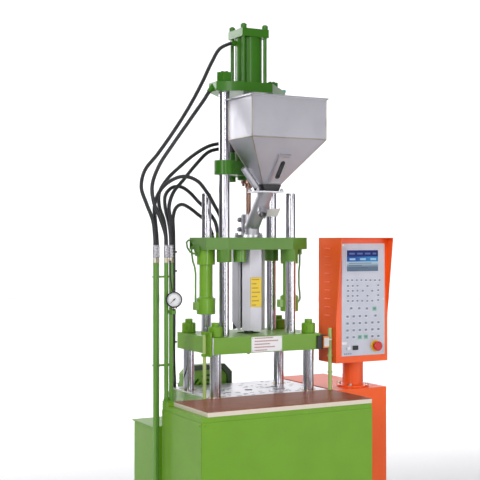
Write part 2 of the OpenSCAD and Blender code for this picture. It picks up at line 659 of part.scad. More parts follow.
module carriage_pipes() placed() {
    color("yellowgreen") {
        swept([[-plate_end_x - port_gap, 56, plate_z + 38], [-plate_end_x - 14, 56, plate_z + 38],
            [-plate_end_x - 25, 52, plate_z + 29], [-plate_end_x - 27, 40, plate_z + 9],
            [-plate_end_x - 24, 20, plate_z - 9], [-plate_end_x - 16, 3, plate_z - 16],
            [-plate_end_x - 6 - port_gap, 0, plate_z - 16]], 4, 8, [-1, 0, 0], [1, 0, 0]);
        swept([[-plate_end_x - port_gap, 30, plate_z + 14], [-plate_end_x - 8, 30, plate_z + 12],
            [-plate_end_x - 13, 29, plate_z + 2], [-plate_end_x - 14, 26, plate_z - 14],
            [-pipe_end_x - 6, 14, plate_z - 46], [-pipe_end_x - 2, 3, plate_z - 72], [-pipe_end_x, 0, plate_z - 96],
            [-pipe_end_x, 0, cyl_foot_z + 50 + port_gap]], 4, 8, [-1, 0, 0], [0, 0, -1]);
    }
    color("dimgray") {
        at(222, -44, plate_z - 22) cylinder(d = 20, h = 22, $fn = 6);
        swept([[222, -44, plate_z - 21], [222, -44, plate_z - 44], [225, -38, plate_z - 66], [230, -24, plate_z - 90],
            [236, -14, cyl_foot_z + 110], [246, -4, cyl_foot_z + 80], [250, 0, cyl_foot_z + 54],
            [246, 0, cyl_foot_z + 43], [235.8, 0, cyl_foot_z + 40]], 4, 8, [0, 0, -1], [-1, 0, 0]);
        at(235.8, 0, cyl_foot_z + 40) rotate([0, 90, 0]) cylinder(d = 12, h = 7, $fn = 6);
        // black cap over the heater leads
        at(-75, -62, plate_z - 50) cylinder(d = 54, h = 50);
        // unions of the two hoses and gland of the cable loom
        for (p = [port_up, port_down, port_loom]) at(p[0], p[1], plate_top) cylinder(d = 18, h = p[2] - plate_top, $fn = 6);
    }
}

barrel_tip_z = platen_z - 24;
module barrel() color("silver") placed() difference() {
    union() {
        at(0, 0, platen_z + 90) cylinder(d = barrel_d, h = plate_top - platen_z - 90 + 10);
        at(0, 0, platen_z + 60) cylinder(d1 = 34, d2 = 46, h = 31);
        at(0, 0, platen_z - 8) cylinder(d = 34, h = 69);
        at(0, 0, barrel_tip_z) cylinder(d1 = 8, d2 = 34, h = platen_z - 8 - barrel_tip_z);
        at(0, 0, plate_top) cylinder(d = 118, h = 12);
    }
    at(0, 0, platen_z + 100) cylinder(d = screw_d + 1, h = plate_top - platen_z);
    at(0, 0, barrel_tip_z - 1) cylinder(d = 4, h = 160, $fn = 24);
    at(0, 0, platen_z + 84) cylinder(d1 = 4, d2 = screw_d + 1, h = 16.1);
    for (a = [45:90:315]) rotate([0, 0, a]) at(flange_r, 0, plate_top - 1) cylinder(d = 9, h = 15, $fn = 24);
}
module heater_bands() color("lightgray") placed() {
    for (z = [platen_z + 110, platen_z + 190, platen_z + 270]) at(0, 0, z) difference() {
        union() {
            cylinder(d = barrel_d + 14, h = 60);
            box_between([-6, barrel_d / 2 + 3, 6], [6, barrel_d / 2 + 16, 54]);
        }
        at(0, 0, -1) cylinder(d = barrel_d + 2 * seat_fit, h = 62);
    }
    at(0, 0, platen_z + 17) difference() {
        cylinder(d = 44, h = 42);
        at(0, 0, -1) cylinder(d = 34 + 2 * seat_fit, h = 44);
    }
    for (a = [45:90:315]) rotate([0, 0, a]) at(flange_r, 0, plate_top + 12) cap_screw(8, 8);
}

module octagon(w) rotate(22.5) circle(d = w / cos(22.5), $fn = 8);
module barrel_guard() color("silver") placed() {
    guard_z = platen_top + 13;
    at(0, 0, guard_z) difference() {
        linear_extrude(plate_z - guard_z) difference() {
            octagon(guard_w);
            octagon(guard_w - 4);
        }
        // slot down the front left facet, and the tapered foot of the leaf beside it
        rotate([0, 0, -45]) box_between([-16, -guard_w / 2 - 4, -1], [-9, -guard_w / 2 + 5, plate_z]);
        at(-guard_w / 2 - 5, 0, 0) rotate([0, 90, 0]) linear_extrude(10) polygon([[1, -32], [1, 32], [-36, 32]]);
    }
    // yellow label on the front facet
    color("gold") box_between([-24, -guard_w / 2 - 1, platen_top + 110], [24, -guard_w / 2, platen_top + 230]);
}

function tube_dir() = unit([0, outlet_y - elbow_y, base_z - elbow_z]);
tube_len = norm([outlet_y - elbow_y, base_z - elbow_z]);
tube_tilt = atan2(elbow_y - outlet_y, base_z - elbow_z);
// Places its children at the elbow with +Z up the inclined feed tube
module along_tube(s = 0) at(0, elbow_y, elbow_z) rotate([tube_tilt, 0, 0]) at(0, 0, s) children();

module feed_block() color("lightgray") placed() difference() {
    union() {
        at(0, 0, plate_top + 12) cylinder(d = 62, h = 84);
        // elbow with a cast ball that stands a little proud of the upright and the tube's stub
        at(0, elbow_y, plate_top + 12) cylinder(d = feed_d, h = elbow_z - plate_top - 12);
        at(0, elbow_y, elbow_z) sphere(d = feed_d + 3);
        along_tube() cylinder(d = feed_d, h = seat_s);
        // clamp bolts at the left and right
        for (z = [34, 74]) at(0, 22, plate_top + z) rotate([0, 90, 0]) {
            cylinder(d = 14, h = 80, center = true, $fn = 24);
            cylinder(d = 20, h = 70, center = true, $fn = 24);
        }
    }
    at(0, 0, plate_top) cylinder(d = screw_d + 1, h = 100);
    along_tube() cylinder(d = feed_d - 2 * feed_wall, h = seat_s + 1);
    along_tube(-32) cylinder(d = 26, h = 34);
}
seat_s = 40;
flap_x = 36.5;
flap_y = -6;
flap_s = 60;
flap_l = 40;
drain_s = 118;
knuckle_d = 11;
pin_d = 6;
module feed_tube() color("gray") placed() difference() {
    union() {
        along_tube(seat_s) cylinder(d = feed_d, h = tube_len - seat_s + 30);
        // drain stub with its clamp band
        drain_stub() {
            cylinder(d = 36, h = 56);
            at(0, 0, 34) cylinder(d = 40, h = 12);
        }
        for (s = [flap_s - 9, flap_s + flap_l + 1]) along_tube(s) {
            at(flap_x, flap_y) cylinder(d = knuckle_d, h = 8, $fn = 24);
            translate([feed_d / 2 - 6, flap_y - 3, 0]) cube([flap_x - feed_d / 2 + 6, 6, 8]);
        }
    }
    along_tube(seat_s - 1) cylinder(d = feed_d - 2 * feed_wall, h = tube_len + 20);
    drain_stub() cylinder(d = 30, h = 60);
    // flat top under the base plate
    box_between([-60, outlet_y - 60, base_z], [60, outlet_y + 60, base_z + 60]);
    along_tube(flap_s - 10) at(flap_x, flap_y) cylinder(d = pin_d + 2 * run_fit, h = flap_l + 20, $fn = 24);
}
module drain_stub() along_tube(drain_s) rotate([102, 0, -12]) children();
module drain_flap() color("rosybrown") placed() {
    along_tube(flap_s) at(flap_x, flap_y) cylinder(d = knuckle_d, h = flap_l, $fn = 24);
    along_tube(flap_s - 11) at(flap_x, flap_y) cylinder(d = pin_d, h = flap_l + 22, $fn = 24);
    along_tube(flap_s) translate([flap_x + 4, flap_y - 1, 0]) cube([54, 2, flap_l]);
    along_tube(flap_s) translate([flap_x + 56, flap_y - 1, 0]) cube([2, 10, flap_l]);
}

module rect_frustum(w0, d0, x0, y0, z0, w1, d1, x1, y1, z1) polyhedron(
    [for (c = [[w0, d0, x0, y0, z0], [w1, d1, x1, y1, z1]], q = [[-1, -1], [1, -1], [1, 1], [-1, 1]])
        [c[2] + q[0] * c[0] / 2, c[3] + q[1] * c[1] / 2, c[4]]],
    [[0, 1, 2, 3], [4, 5, 1, 0], [5, 6, 2, 1], [6, 7, 3, 2], [7, 4, 0, 3], [7, 6, 5, 4]]);
module hopper() color("silver") placed() {
    w = hopper_wall;
    difference() {
        union() {
            at(hopper_x - hopper_w / 2, hopper_y - hopper_d / 2, seam_z) cube([hopper_w, hopper_d, hopper_box_h]);
            rect_frustum(outlet_w, outlet_d, outlet_x, outlet_y, cone_z,
                hopper_w, hopper_d, hopper_x, hopper_y, seam_z);
            // folded lip
            at(hopper_x - hopper_w / 2 - 7, hopper_y - hopper_d / 2 - 7, rim_z - 3) cube([hopper_w + 14, hopper_d + 14, 3]);
            sight_glass_block();
        }
        at(hopper_x - hopper_w / 2 + w, hopper_y - hopper_d / 2 + w, seam_z - 0.01)
            cube([hopper_w - 2 * w, hopper_d - 2 * w, hopper_box_h + 1]);
        rect_frustum(outlet_w - 2 * w, outlet_d - 2 * w, outlet_x, outlet_y, cone_z - 0.01,
            hopper_w - 2 * w, hopper_d - 2 * w, hopper_x, hopper_y, seam_z);
    }
    // emptying pipe up the left slope, cut level where it stands on its plug
    difference() {
        at(plug_x, outlet_y, base_z + base_t + 10) rotate([0, -pipe_lean, 0]) difference() {
            at(0, 0, -20) cylinder(d = 26, h = 124);
            at(0, 0, -21) cylinder(d = 22, h = 126);
        }
        at(plug_x - 60, outlet_y - 30, base_z - 20) cube([120, 60, base_t + 30]);
    }
}
plug_x = -38;
pipe_lean = 38;
// Raised frame of the sight glass on the front slope
module sight_glass_block() {
    run = (hopper_y - hopper_d / 2) - (outlet_y - outlet_d / 2);
    slope = atan2(-run, hopper_cone_h);
    at(18, outlet_y - outlet_d / 2, cone_z) rotate([slope, 0, 0]) difference() {
        at(0, 0, 12) translate([-28, -9, 0]) cube([56, 12, 136]);
        hull() for (z = [48, 112]) at(0, -8, z) rotate([90, 0, 0]) cylinder(d = 17, h = 12, $fn = 24);
    }
}
module hopper_base() placed() {
    color("silver") difference() {
        union() {
            at(-62, outlet_y - 42, base_z) cube([124, 84, base_t]);
            for (s = [-1, 1], t = [-1, 1]) at(s * 54, outlet_y + t * 34, base_z + base_t) cylinder(d = 12, h = 7, $fn = 6);
        }
        at(0, outlet_y, base_z - 1) cylinder(d = feed_d - 2 * feed_wall, h = base_t + 2);
    }
    color("black") at(0, 0, base_z + base_t) difference() {
        union() {
            rect_frustum(outlet_w - 20, outlet_d - 8, outlet_x + 3, outlet_y, 0,
                outlet_w + 4, outlet_d + 4, outlet_x, outlet_y, collar_h);
            at(plug_x, outlet_y) cylinder(d1 = 22, d2 = 32, h = 10, $fn = 32);
        }
        rect_frustum(outlet_w - 28, outlet_d - 14, outlet_x + 1, outlet_y, -0.01,
            outlet_w - 1, outlet_d - 1, outlet_x, outlet_y, collar_h + 0.01);
    }
}

module injection_columns() color("lightgray") placed() for (s = [-1, 1]) at(s * column_x, s * column_y) {
    at(0, 0, plate_top) cylinder(d = column_d, h = column_len);
    at(0, 0, plate_top - 18) cylinder(d = 30, h = 19);
    at(0, 0, top_z - 1) cylinder(d = 34, h = top_plate_t + 46);
}
port_foot = [-214, -62, 2025.5];
port_foot_lean = 34;
module top_outline() polygon([[-202, -36], [-202, -103], [-121, -147], [30, -147], [199, 36],
    [202, 103], [121, 147], [-30, 147]]);
module top_plate() color("green") placed() {
    difference() {
        at(0, 0, top_z) linear_extrude(top_plate_t) top_outline();
        for (s = [-1, 1]) at(s * column_x, s * column_y, top_z - 1) cylinder(d = 34 + 2 * seat_fit, h = top_plate_t + 2);
        at(0, 0, top_z - 1) cylinder(d = inj_rod_d + 2 * run_fit, h = top_plate_t + 2);
        four(50, 50) at(0, 0, top_z + 14) cylinder(d = 15 + 2 * seat_fit, h = top_plate_t, $fn = 24);
    }
    color("teal") at(200, 60, top_z + 14) rotate([0, 90, 0]) cylinder(d = 16, h = 14, $fn = 24);
    // elbow for the hose to the foot of the cylinder
    color("dimgray") {
        translate(port_foot) rotate([0, port_foot_lean, 0]) cylinder(d = 20, h = 34, $fn = 24);
    }
}
motor_in_y = 50;
motor_in_z = 1836;
motor_out_y = 72;
motor_out_z = 1815;
module column_nuts() color("green") placed() for (s = [-1, 1]) at(s * column_x, s * column_y, top_face) {
    hex_nut(56, 40, 34 + 2 * seat_fit);
}
port_head = [-74, 15, 2246];
module injection_cylinder() color("green") placed() difference() {
    union() {
        at(0, 0, top_face) cylinder(d = inj_tube_d, h = inj_tube_l);
        at(-inj_cap_w / 2, -inj_cap_w / 2, cap_z) cube([inj_cap_w, inj_cap_w, cap_t]);
        four(50, 50) {
            at(0, 0, top_z + 16) cylinder(d = 15, h = cap_z - top_z - 14, $fn = 24);
            at(0, 0, cap_z + cap_t) cylinder(d = 25, h = 16);
            at(0, 0, cap_z + cap_t + 15) cylinder(d = 14, h = 5, $fn = 24);
        }
        at(port_head[0], port_head[1], port_head[2]) rotate([0, 90, 0]) cylinder(d = 22, h = 30);
    }
    at(0, 0, top_face - 1) cylinder(d = inj_bore, h = inj_tube_l + 1);
}

module column_link(r) for (s = [-1, 1]) at(s * column_x, s * column_y) cylinder(r = r, h = crosshead_t);
module crosshead() color("green") placed() at(0, 0, head_z) difference() {
    union() {
        column_link(head_boss_r);
        rotate([0, 0, atan2(column_y, column_x)]) at(-norm([column_x, column_y]), -head_arm_w / 2, 1)
            cube([2 * norm([column_x, column_y]), head_arm_w, crosshead_t - 2]);
        cylinder(r = hub_r, h = crosshead_t + hub_h);
        at(motor_x, motor_y) cylinder(r = 46, h = crosshead_t + hub_h);
        at(0, 0, -14) cylinder(d = 92, h = 15);
        at(motor_x, motor_y, -20) cylinder(d = 26, h = 21);
    }
    for (s = [-1, 1]) at(s * column_x, s * column_y, -1) cylinder(d = column_d + 2 * run_fit, h = crosshead_t + 2);
    at(0, 0, -50) cylinder(d = 50 + 2 * run_fit, h = 90);
    at(0, 0, crosshead_t) cylinder(d = inj_rod_d + 2 * seat_fit, h = 60);
}
module injection_piston_rod() color("lightgray") placed() {
    at(0, 0, head_top) cylinder(d = inj_rod_d, h = top_face + 110 - head_top);
    at(0, 0, top_face + 108) cylinder(d = inj_bore - 2 * seat_fit, h = 42);
}
module hydraulic_motor() color("dimgray") placed() at(motor_x, motor_y, head_top + hub_h) {
    cylinder(d = 80, h = 9);
    at(0, 0, 8) cylinder(r = motor_r, h = 34);
    at(0, 0, 41) cylinder(r = motor_r - 4, h = 15);
    // ports
    at(-42, motor_in_y - motor_y, motor_in_z - head_top - hub_h) rotate([0, 90, 0]) cylinder(d = 18, h = 26, $fn = 6);
    at(-42, motor_out_y - motor_y, motor_out_z - head_top - hub_h) rotate([0, 90, 0]) cylinder(d = 18, h = 26, $fn = 6);
}
// Helical flight on a plain core, its drive shank, and the thrust bearing under the crosshead
module screw() color("chocolate") placed() {
    stroke = 90;
    tip_z = platen_z + 97 + stroke;
    flight_l = plate_top + 78 - tip_z - 18;
    at(0, 0, tip_z + 18) linear_extrude(flight_l, twist = -360 * 9, slices = 9 * 12, segments = 4)
        translate([6, -2]) square([screw_d / 2 - 6.4, 4]);
    at(0, 0, tip_z + 18) cylinder(d = 15, h = flight_l + 80);
    at(0, 0, tip_z) cylinder(d1 = 2, d2 = 15, h = 18);
    at(0, 0, plate_top + 76) cylinder(d = 20, h = head_z - plate_top - 76 - 40);
    at(0, 0, head_z - 46) cylinder(d = 30, h = 48);
    at(0, 0, head_z - 28) cylinder(d = 64, h = 12);
    at(0, 0, head_z - 17) cylinder(d = 50, h = 50);
    for (a = [0:60:300]) rotate([0, 0, a]) at(25, 0, head_z - 38) cylinder(d = 10, h = 11, $fn = 24);
}

panel_x0 = 340;
panel_w = 218;
panel_z0 = box_z + 28;
panel_h = 470;
estop_x = 507;
estop_z = box_z + 66;
key_x = 371;
key_z = box_z + 61;
panel_y = box_y0 - 3;

// Side profile of the control box, front at the left
module box_profile() polygon([[box_y0, box_z], [box_y0 + box_d, box_z], [box_y0 + box_d, box_z + box_h],
    [box_y0 - hood_d, box_z + box_h], [box_y0 - 1, box_z + 200], [box_y0, box_z + 180]]);
module control_housing() color("orangered") placed() {
    difference() {
        at(box_x0, 0) rotate([90, 0, 90]) linear_extrude(box_w) box_profile();
        at(box_x0 + 3, box_y0 - hood_d - 1, box_z + 12) cube([box_w - 6, hood_d + 1, box_h - 15]);
        at(estop_x, box_y0 - 1, estop_z) rotate([-90, 0, 0]) cylinder(d = 26, h = 12);
    }
    // pressed louvres on the left side
    for (i = [0:8]) at(box_x0, box_y0 + 62, box_z + box_h - 48 - 35 * i) rotate([90, 0, 0]) difference() {
        cylinder(d = 9, h = 44, $fn = 24, center = true);
        translate([0.01, -10, -30]) cube([20, 20, 60]);
        translate([-10, -10, -30]) cube([20, 10, 60]);
    }
    at(post_x, post_y, box_z - 60) cylinder(d = post_d - 8 - 2 * seat_fit, h = 61);
}
module control_panel() color("lightgray") placed() difference() {
    union() {
        box_between([panel_x0, panel_y, panel_z0], [panel_x0 + panel_w, box_y0, panel_z0 + panel_h]);
        // screen bezel
        box_between([panel_x0 + 18, panel_y - 2, panel_z0 + 346], [panel_x0 + 190, panel_y + 1, panel_z0 + 448]);
        at(estop_x, panel_y - 4, estop_z) rotate([-90, 0, 0]) cylinder(d = 44, h = 5);
        at(key_x, panel_y - 3, key_z) rotate([-90, 0, 0]) cylinder(d = 22, h = 4);
        // programming socket
        box_between([390, panel_y - 4, box_z + 52], [420, panel_y + 1, box_z + 72]);
    }
    box_between([panel_x0 + 24, panel_y - 3, panel_z0 + 352], [panel_x0 + 184, panel_y - 0.5, panel_z0 + 442]);
    at(estop_x, panel_y - 5, estop_z) rotate([-90, 0, 0]) cylinder(d = 22, h = 9);
    at(key_x, panel_y - 4, key_z) rotate([-90, 0, 0]) cylinder(d = 16, h = 4.5);
}
module estop_button() color("red") placed() at(estop_x, panel_y, estop_z) rotate([90, 0, 0]) {
    at(0, 0, 0) cylinder(d = 21.8, h = 22);
    at(0, 0, 12) cylinder(d1 = 30, d2 = 40, h = 8);
    at(0, 0, 20) cylinder(d = 40, h = 7);
    at(0, 0, 27) cylinder(d1 = 40, d2 = 32, h = 4);
}
module key_switch() color("silver") placed() at(key_x, panel_y, key_z) rotate([90, 0, 0]) difference() {
    cylinder(d = 15.8, h = 7);
    at(-1, -5.5, 4) cube([2, 11, 4]);
}

// Free hoses and the cable loom: each route runs from the foot to the port
hose_r = 7.5;
port_gap = 0.3;
hose_head_route = [[-462, -92, 1413], [-462, -88, 1452], [-461, -66, 1510], [-472, -30, 1575],
    [-482, -2, 1640], [-462, 12, 1705], [-405, 12, 1775], [-335, 10, 1870], [-265, 10, 1975],
    [-210, 12, 2070], [-163, 15, 2160], [-126, 15, 2218], [-74.3, 15, 2246]];
hose_foot_route = [[-412, -84, 1413], [-413, -81, 1452], [-430, -70, 1515], [-452, -56, 1580], [-454, -45, 1645],
    [-422, -36, 1722], [-370, -44, 1803], [-322, -54, 1873], [-276, -60, 1938], [-238, -62, 1990],
    [-214.2, -62, 2025.2]];
hose_motor_in_route = [[-399, -58, 1413], [-398, -50, 1456], [-391, -14, 1512], [-392, 26, 1565], [-380, 54, 1622],
    [-342, 62, 1678], [-286, 62, 1730], [-222, 58, 1782], [-156, 52, 1820], [-85.3, 50, 1836]];
hose_motor_out_route = [[-391, -84, 1413], [-389, -76, 1456], [-375, -44, 1510], [-362, -2, 1568], [-332, 22, 1624],
    [-280, 38, 1676], [-215, 56, 1742], [-150, 68, 1797], [-85.3, 72, 1815]];
hose_up_route = [[-446, -76, 1413], [-445, -68, 1454], [-437, -36, 1510], [-428, -8, 1570], [-398, 2, 1630],
    [-350, 4, 1670], [-295, 2, 1688], [-240, -4, 1672], [-196, 0, 1630], [-156, 10, 1578], [-116, 27, 1522],
    [-100, 35, 1462.3]];
hose_down_route = [[-378, -58, 1413], [-378, -50, 1455], [-370, -14, 1505], [-360, 40, 1560],
    [-336, 92, 1615], [-295, 116, 1648], [-250, 126, 1652], [-206, 134, 1630], [-168, 130, 1592],
    [-134, 108, 1552], [-115, 80, 1508], [-110, 66, 1462.3]];
loom_route = [[-218, 264, 661.3], [-218, 262, 740], [-224, 248, 805], [-246, 200, 844], [-290, 108, 882],
    [-332, 20, 930], [-357, -32, 995], [-362, -46, 1070], [-362, -46, 1230], [-362, -45, 1400],
    [-357, -32, 1462], [-341, 6, 1522], [-308, 50, 1562], [-262, 92, 1578], [-214, 122, 1566],
    [-170, 128, 1538], [-136, 112, 1506], [-118, 97, 1452.3]];
up = [0, 0, 1];
right = [1, 0, 0];
foot_dir = [sin(port_foot_lean), 0, cos(port_foot_lean)];
module hose_head() color("black") placed() swept(hose_head_route, hose_r, 8, up, right);
module hose_foot() color("black") placed() swept(hose_foot_route, hose_r, 8, up, foot_dir);
module hose_motor_in() color("black") placed() swept(hose_motor_in_route, hose_r, 8, up, right);
module hose_motor_out() color("black") placed() swept(hose_motor_out_route, hose_r, 8, up, right);
module hose_carriage_up() color("black") placed() swept(hose_up_route, hose_r, 8, up, -up);
module hose_carriage_down() color("black") placed() swept(hose_down_route, hose_r, 8, up, -up);
module cable_loom() color("black") placed() swept(loom_route, hose_r, 8, up, -up);

bed_frame();
front_panel();
side_panels();
levelling_feet();
worktop();
bolster();
tie_bar_bushes();
side_cabinet();
control_post();
post_bolts();
oil_tank();
pump_motor();
motor_cowl();
steel_pipes();
pipe_ferrules();
pressure_gauge();
gauge_needle();
stop_rods();
clamp_cylinder();
clamp_piston_rod();
lower_crosshead();
tie_bars();
tie_bar_nuts();
upper_platen();
locating_ring();
notice_plate();
rod_brackets();
limit_switch();
guide_posts();
carriage_piston_rods();
carriage_plate();
carriage_cylinders();
carriage_pipes();
barrel();
heater_bands();
barrel_guard();
feed_block();
feed_tube();
drain_flap();
hopper();
hopper_base();
injection_columns();
top_plate();
column_nuts();
injection_cylinder();
crosshead();
injection_piston_rod();
hydraulic_motor();
screw();
control_housing();
control_panel();
estop_button();
key_switch();
hose_head();
hose_foot();
hose_motor_in();
hose_motor_out();
hose_carriage_up();
hose_carriage_down();
cable_loom();
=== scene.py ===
"""Looks of a vertical plastic injection moulding machine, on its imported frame.

The frame gives the place of every sub-part. This script gives each of them a
finish, replaces the plain hose tubes by smooth ones, and adds the small pieces
that the frame leaves out. Sizes are metres in the frame's own axes; the helper
``at`` takes the drawing's millimetres about the machine's axis.
"""

import json
import logging
import math
from dataclasses import dataclass
from enum import Enum
from typing import Iterable, Optional, Sequence, Union

import bpy
from mathutils import Matrix, Vector

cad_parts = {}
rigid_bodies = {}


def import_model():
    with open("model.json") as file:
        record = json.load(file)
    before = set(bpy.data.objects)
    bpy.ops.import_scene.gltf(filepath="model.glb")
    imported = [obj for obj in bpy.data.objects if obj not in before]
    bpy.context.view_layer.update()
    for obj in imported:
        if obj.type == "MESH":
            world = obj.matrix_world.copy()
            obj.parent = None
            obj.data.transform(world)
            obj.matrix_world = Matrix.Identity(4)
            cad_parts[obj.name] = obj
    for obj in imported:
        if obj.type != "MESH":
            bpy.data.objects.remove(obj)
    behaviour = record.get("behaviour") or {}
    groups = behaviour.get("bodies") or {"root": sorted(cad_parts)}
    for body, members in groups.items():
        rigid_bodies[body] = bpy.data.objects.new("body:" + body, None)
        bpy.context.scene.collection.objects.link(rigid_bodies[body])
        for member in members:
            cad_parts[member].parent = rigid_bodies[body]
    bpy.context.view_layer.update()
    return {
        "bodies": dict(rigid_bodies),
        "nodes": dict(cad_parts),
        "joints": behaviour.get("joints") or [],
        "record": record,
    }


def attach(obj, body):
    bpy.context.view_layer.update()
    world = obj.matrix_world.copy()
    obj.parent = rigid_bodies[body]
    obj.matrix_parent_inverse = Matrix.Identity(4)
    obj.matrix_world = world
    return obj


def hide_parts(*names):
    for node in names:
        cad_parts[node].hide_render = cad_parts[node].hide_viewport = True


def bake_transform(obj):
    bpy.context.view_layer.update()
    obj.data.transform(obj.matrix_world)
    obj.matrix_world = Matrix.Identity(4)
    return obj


LOG = logging.getLogger("moulding_machine")

AXIS_X, AXIS_Y = -0.0525, -0.012
QUARTER_TURN = math.radians(90)
TO_FRONT = Vector((0.0, -1.0, 0.0))
HEXAGON = 6

Colour = tuple[float, float, float]
Point = tuple[float, float, float]
Box = tuple[Point, Point]
Rings = Sequence[tuple[float, float]]


def at(x: float, y: float, z: float) -> Vector:
    """Turn millimetres right of, behind and above the foot of the machine's axis into the frame's metres."""
    return Vector((x / 1000 + AXIS_X, y / 1000 + AXIS_Y, z / 1000))


def offset(dx: float, dy: float, dz: float) -> Vector:
    """Turn a step in millimetres into one in metres."""
    return Vector((dx / 1000, dy / 1000, dz / 1000))


# Shader maths


class Socket:
    """One output of a shader node, with the operators of ordinary maths."""

    def __init__(self, graph: "Graph", raw: bpy.types.NodeSocket) -> None:
        """Wrap one output socket of a graph's node."""
        self.graph = graph
        self.raw = raw

    def _math(self, kind: str, first: "Value", second: "Value" = 0.0) -> "Socket":
        """Add one Math node and give its result."""
        return self.graph.node("ShaderNodeMath", {"operation": kind}, {0: first, 1: second})

    def __add__(self, other: "Value") -> "Socket":
        """Give self + other."""
        return self._math("ADD", self, other)

    def __radd__(self, other: "Value") -> "Socket":
        """Give other + self."""
        return self._math("ADD", other, self)

    def __sub__(self, other: "Value") -> "Socket":
        """Give self - other."""
        return self._math("SUBTRACT", self, other)

    def __rsub__(self, other: "Value") -> "Socket":
        """Give other - self."""
        return self._math("SUBTRACT", other, self)

    def __mul__(self, other: "Value") -> "Socket":
        """Give self * other."""
        return self._math("MULTIPLY", self, other)

    def __rmul__(self, other: "Value") -> "Socket":
        """Give other * self."""
        return self._math("MULTIPLY", other, self)

    def __truediv__(self, other: "Value") -> "Socket":
        """Give self / other."""
        return self._math("DIVIDE", self, other)

    def __rtruediv__(self, other: "Value") -> "Socket":
        """Give other / self."""
        return self._math("DIVIDE", other, self)

    def __gt__(self, other: "Value") -> "Socket":
        """Give 1 where self is greater than other, else 0."""
        return self._math("GREATER_THAN", self, other)

    def __lt__(self, other: "Value") -> "Socket":
        """Give 1 where self is smaller than other, else 0."""
        return self._math("LESS_THAN", self, other)

    def floor(self) -> "Socket":
        """Give the whole number below self."""
        return self._math("FLOOR", self)

    def fract(self) -> "Socket":
        """Give self less the whole number below it."""
        return self._math("FRACT", self)

    def ramp(self, low: float, high: float) -> "Socket":
        """Rise smoothly from 0 to 1.

        Args:
            low: Where the rise starts.
            high: Where it ends.

        Returns:
            0 below low, 1 above high.
        """
        return self.graph.node(
            "ShaderNodeMapRange",
            {"interpolation_type": "SMOOTHSTEP"},
            {"Value": self, "From Min": low, "From Max": high},
        )


Value = Union[Socket, float, int, Sequence[float]]


class Graph:
    """The node tree of one material, with a Principled shader at its end."""

    def __init__(self, name: str) -> None:
        """Start an empty material.

        Args:
            name: The material's name.
        """
        self.material = bpy.data.materials.new(name)
        self.material.use_nodes = True
        self.tree = self.material.node_tree
        self.shader = self.tree.nodes["Principled BSDF"]

    def node(
        self,
        kind: str,
        settings: Optional[dict[str, object]] = None,
        inputs: Optional[dict[Union[str, int], Value]] = None,
        output: Union[str, int] = 0,
    ) -> Socket:
        """Add one node.

        Args:
            kind: Blender's name of the node's type.
            settings: The node's own settings, which are set first.
            inputs: A value or a link for each named or numbered input.
            output: The output that is wanted.

        Returns:
            That output.
        """
        made = self.tree.nodes.new(kind)
        for key, value in (settings or {}).items():
            setattr(made, key, value)
        for key, value in (inputs or {}).items():
            if isinstance(value, Socket):
                self.tree.links.new(value.raw, made.inputs[key])
            else:
                made.inputs[key].default_value = value
        return Socket(self, made.outputs[output])

    def place(self, stretch: Point = (1.0, 1.0, 1.0), shift: Point = (0.0, 0.0, 0.0)) -> Socket:
        """Give the object's own coordinates.

        Args:
            stretch: A factor for each axis.
            shift: An offset for each axis, in metres.

        Returns:
            A vector socket.
        """
        coords = self.node("ShaderNodeTexCoord", output="Object")
        moved = self.node("ShaderNodeVectorMath", {"operation": "ADD"}, {0: coords, 1: shift})
        return self.node("ShaderNodeVectorMath", {"operation": "MULTIPLY"}, {0: moved, 1: stretch})

    def axes(self, shift: Point = (0.0, 0.0, 0.0)) -> tuple[Socket, Socket, Socket]:
        """Give the object's three coordinates one by one, after a shift in metres."""
        spot = self.place(shift=shift)
        return tuple(self.node("ShaderNodeSeparateXYZ", None, {0: spot}, n) for n in range(3))

    def noise(
        self, scale: float, detail: float = 3.0, stretch: Point = (1.0, 1.0, 1.0), rough: float = 0.5
    ) -> Socket:
        """Add a noise texture in the object's coordinates.

        Args:
            scale: Its frequency, per metre.
            detail: The number of its octaves.
            stretch: A factor for each axis.
            rough: The weight of each finer octave.

        Returns:
            The noise, from 0 to 1.
        """
        return self.node(
            "ShaderNodeTexNoise",
            None,
            {"Vector": self.place(stretch), "Scale": scale, "Detail": detail, "Roughness": rough},
        )

    def blend(self, factor: Value, low: Value, high: Value) -> Socket:
        """Mix two colours.

        Args:
            factor: 0 for the first, 1 for the second.
            low: The first colour, three numbers or a socket.
            high: The second colour.

        Returns:
            The mixed colour.
        """
        pair = [c if isinstance(c, Socket) else (*c, 1.0) for c in (low, high)]
        return self.node(
            "ShaderNodeMix",
            {"data_type": "RGBA"},
            {0: factor, 6: pair[0], 7: pair[1]},
            2,
        )

    def bump(self, height: Socket, depth: float, strength: float) -> Socket:
        """Turn a height into a normal.

        Args:
            height: The height, from 0 to 1.
            depth: How far 1 stands out, in metres.
            strength: How much of the effect is taken.

        Returns:
            The bent normal.
        """
        return self.node(
            "ShaderNodeBump", None, {"Height": height, "Distance": depth, "Strength": strength}
        )

    def surface(self, **inputs: Value) -> bpy.types.Material:
        """Set the Principled shader.

        Args:
            **inputs: Its inputs, with _ for each blank of their names.

        Returns:
            The finished material.
        """
        for key, value in inputs.items():
            socket = self.shader.inputs[key.replace("_", " ")]
            if isinstance(value, Socket):
                self.tree.links.new(value.raw, socket)
            elif isinstance(value, (tuple, list)):
                socket.default_value = (*value, 1.0)
            else:
                socket.default_value = value
        return self.material


# Finishes


class Grain(Enum):
    """The direction that a metal was ground or brushed in."""

    ALONG_X = (0.04, 1.0, 1.0)
    ALONG_Z = (1.0, 1.0, 0.04)
    NONE = (1.0, 1.0, 1.0)


@dataclass(frozen=True)
class Finish:
    """A look that a piece can wear. Each kind builds its own material."""

    name: str

    def material(self) -> bpy.types.Material:
        """Build the finish's material."""
        raise NotImplementedError


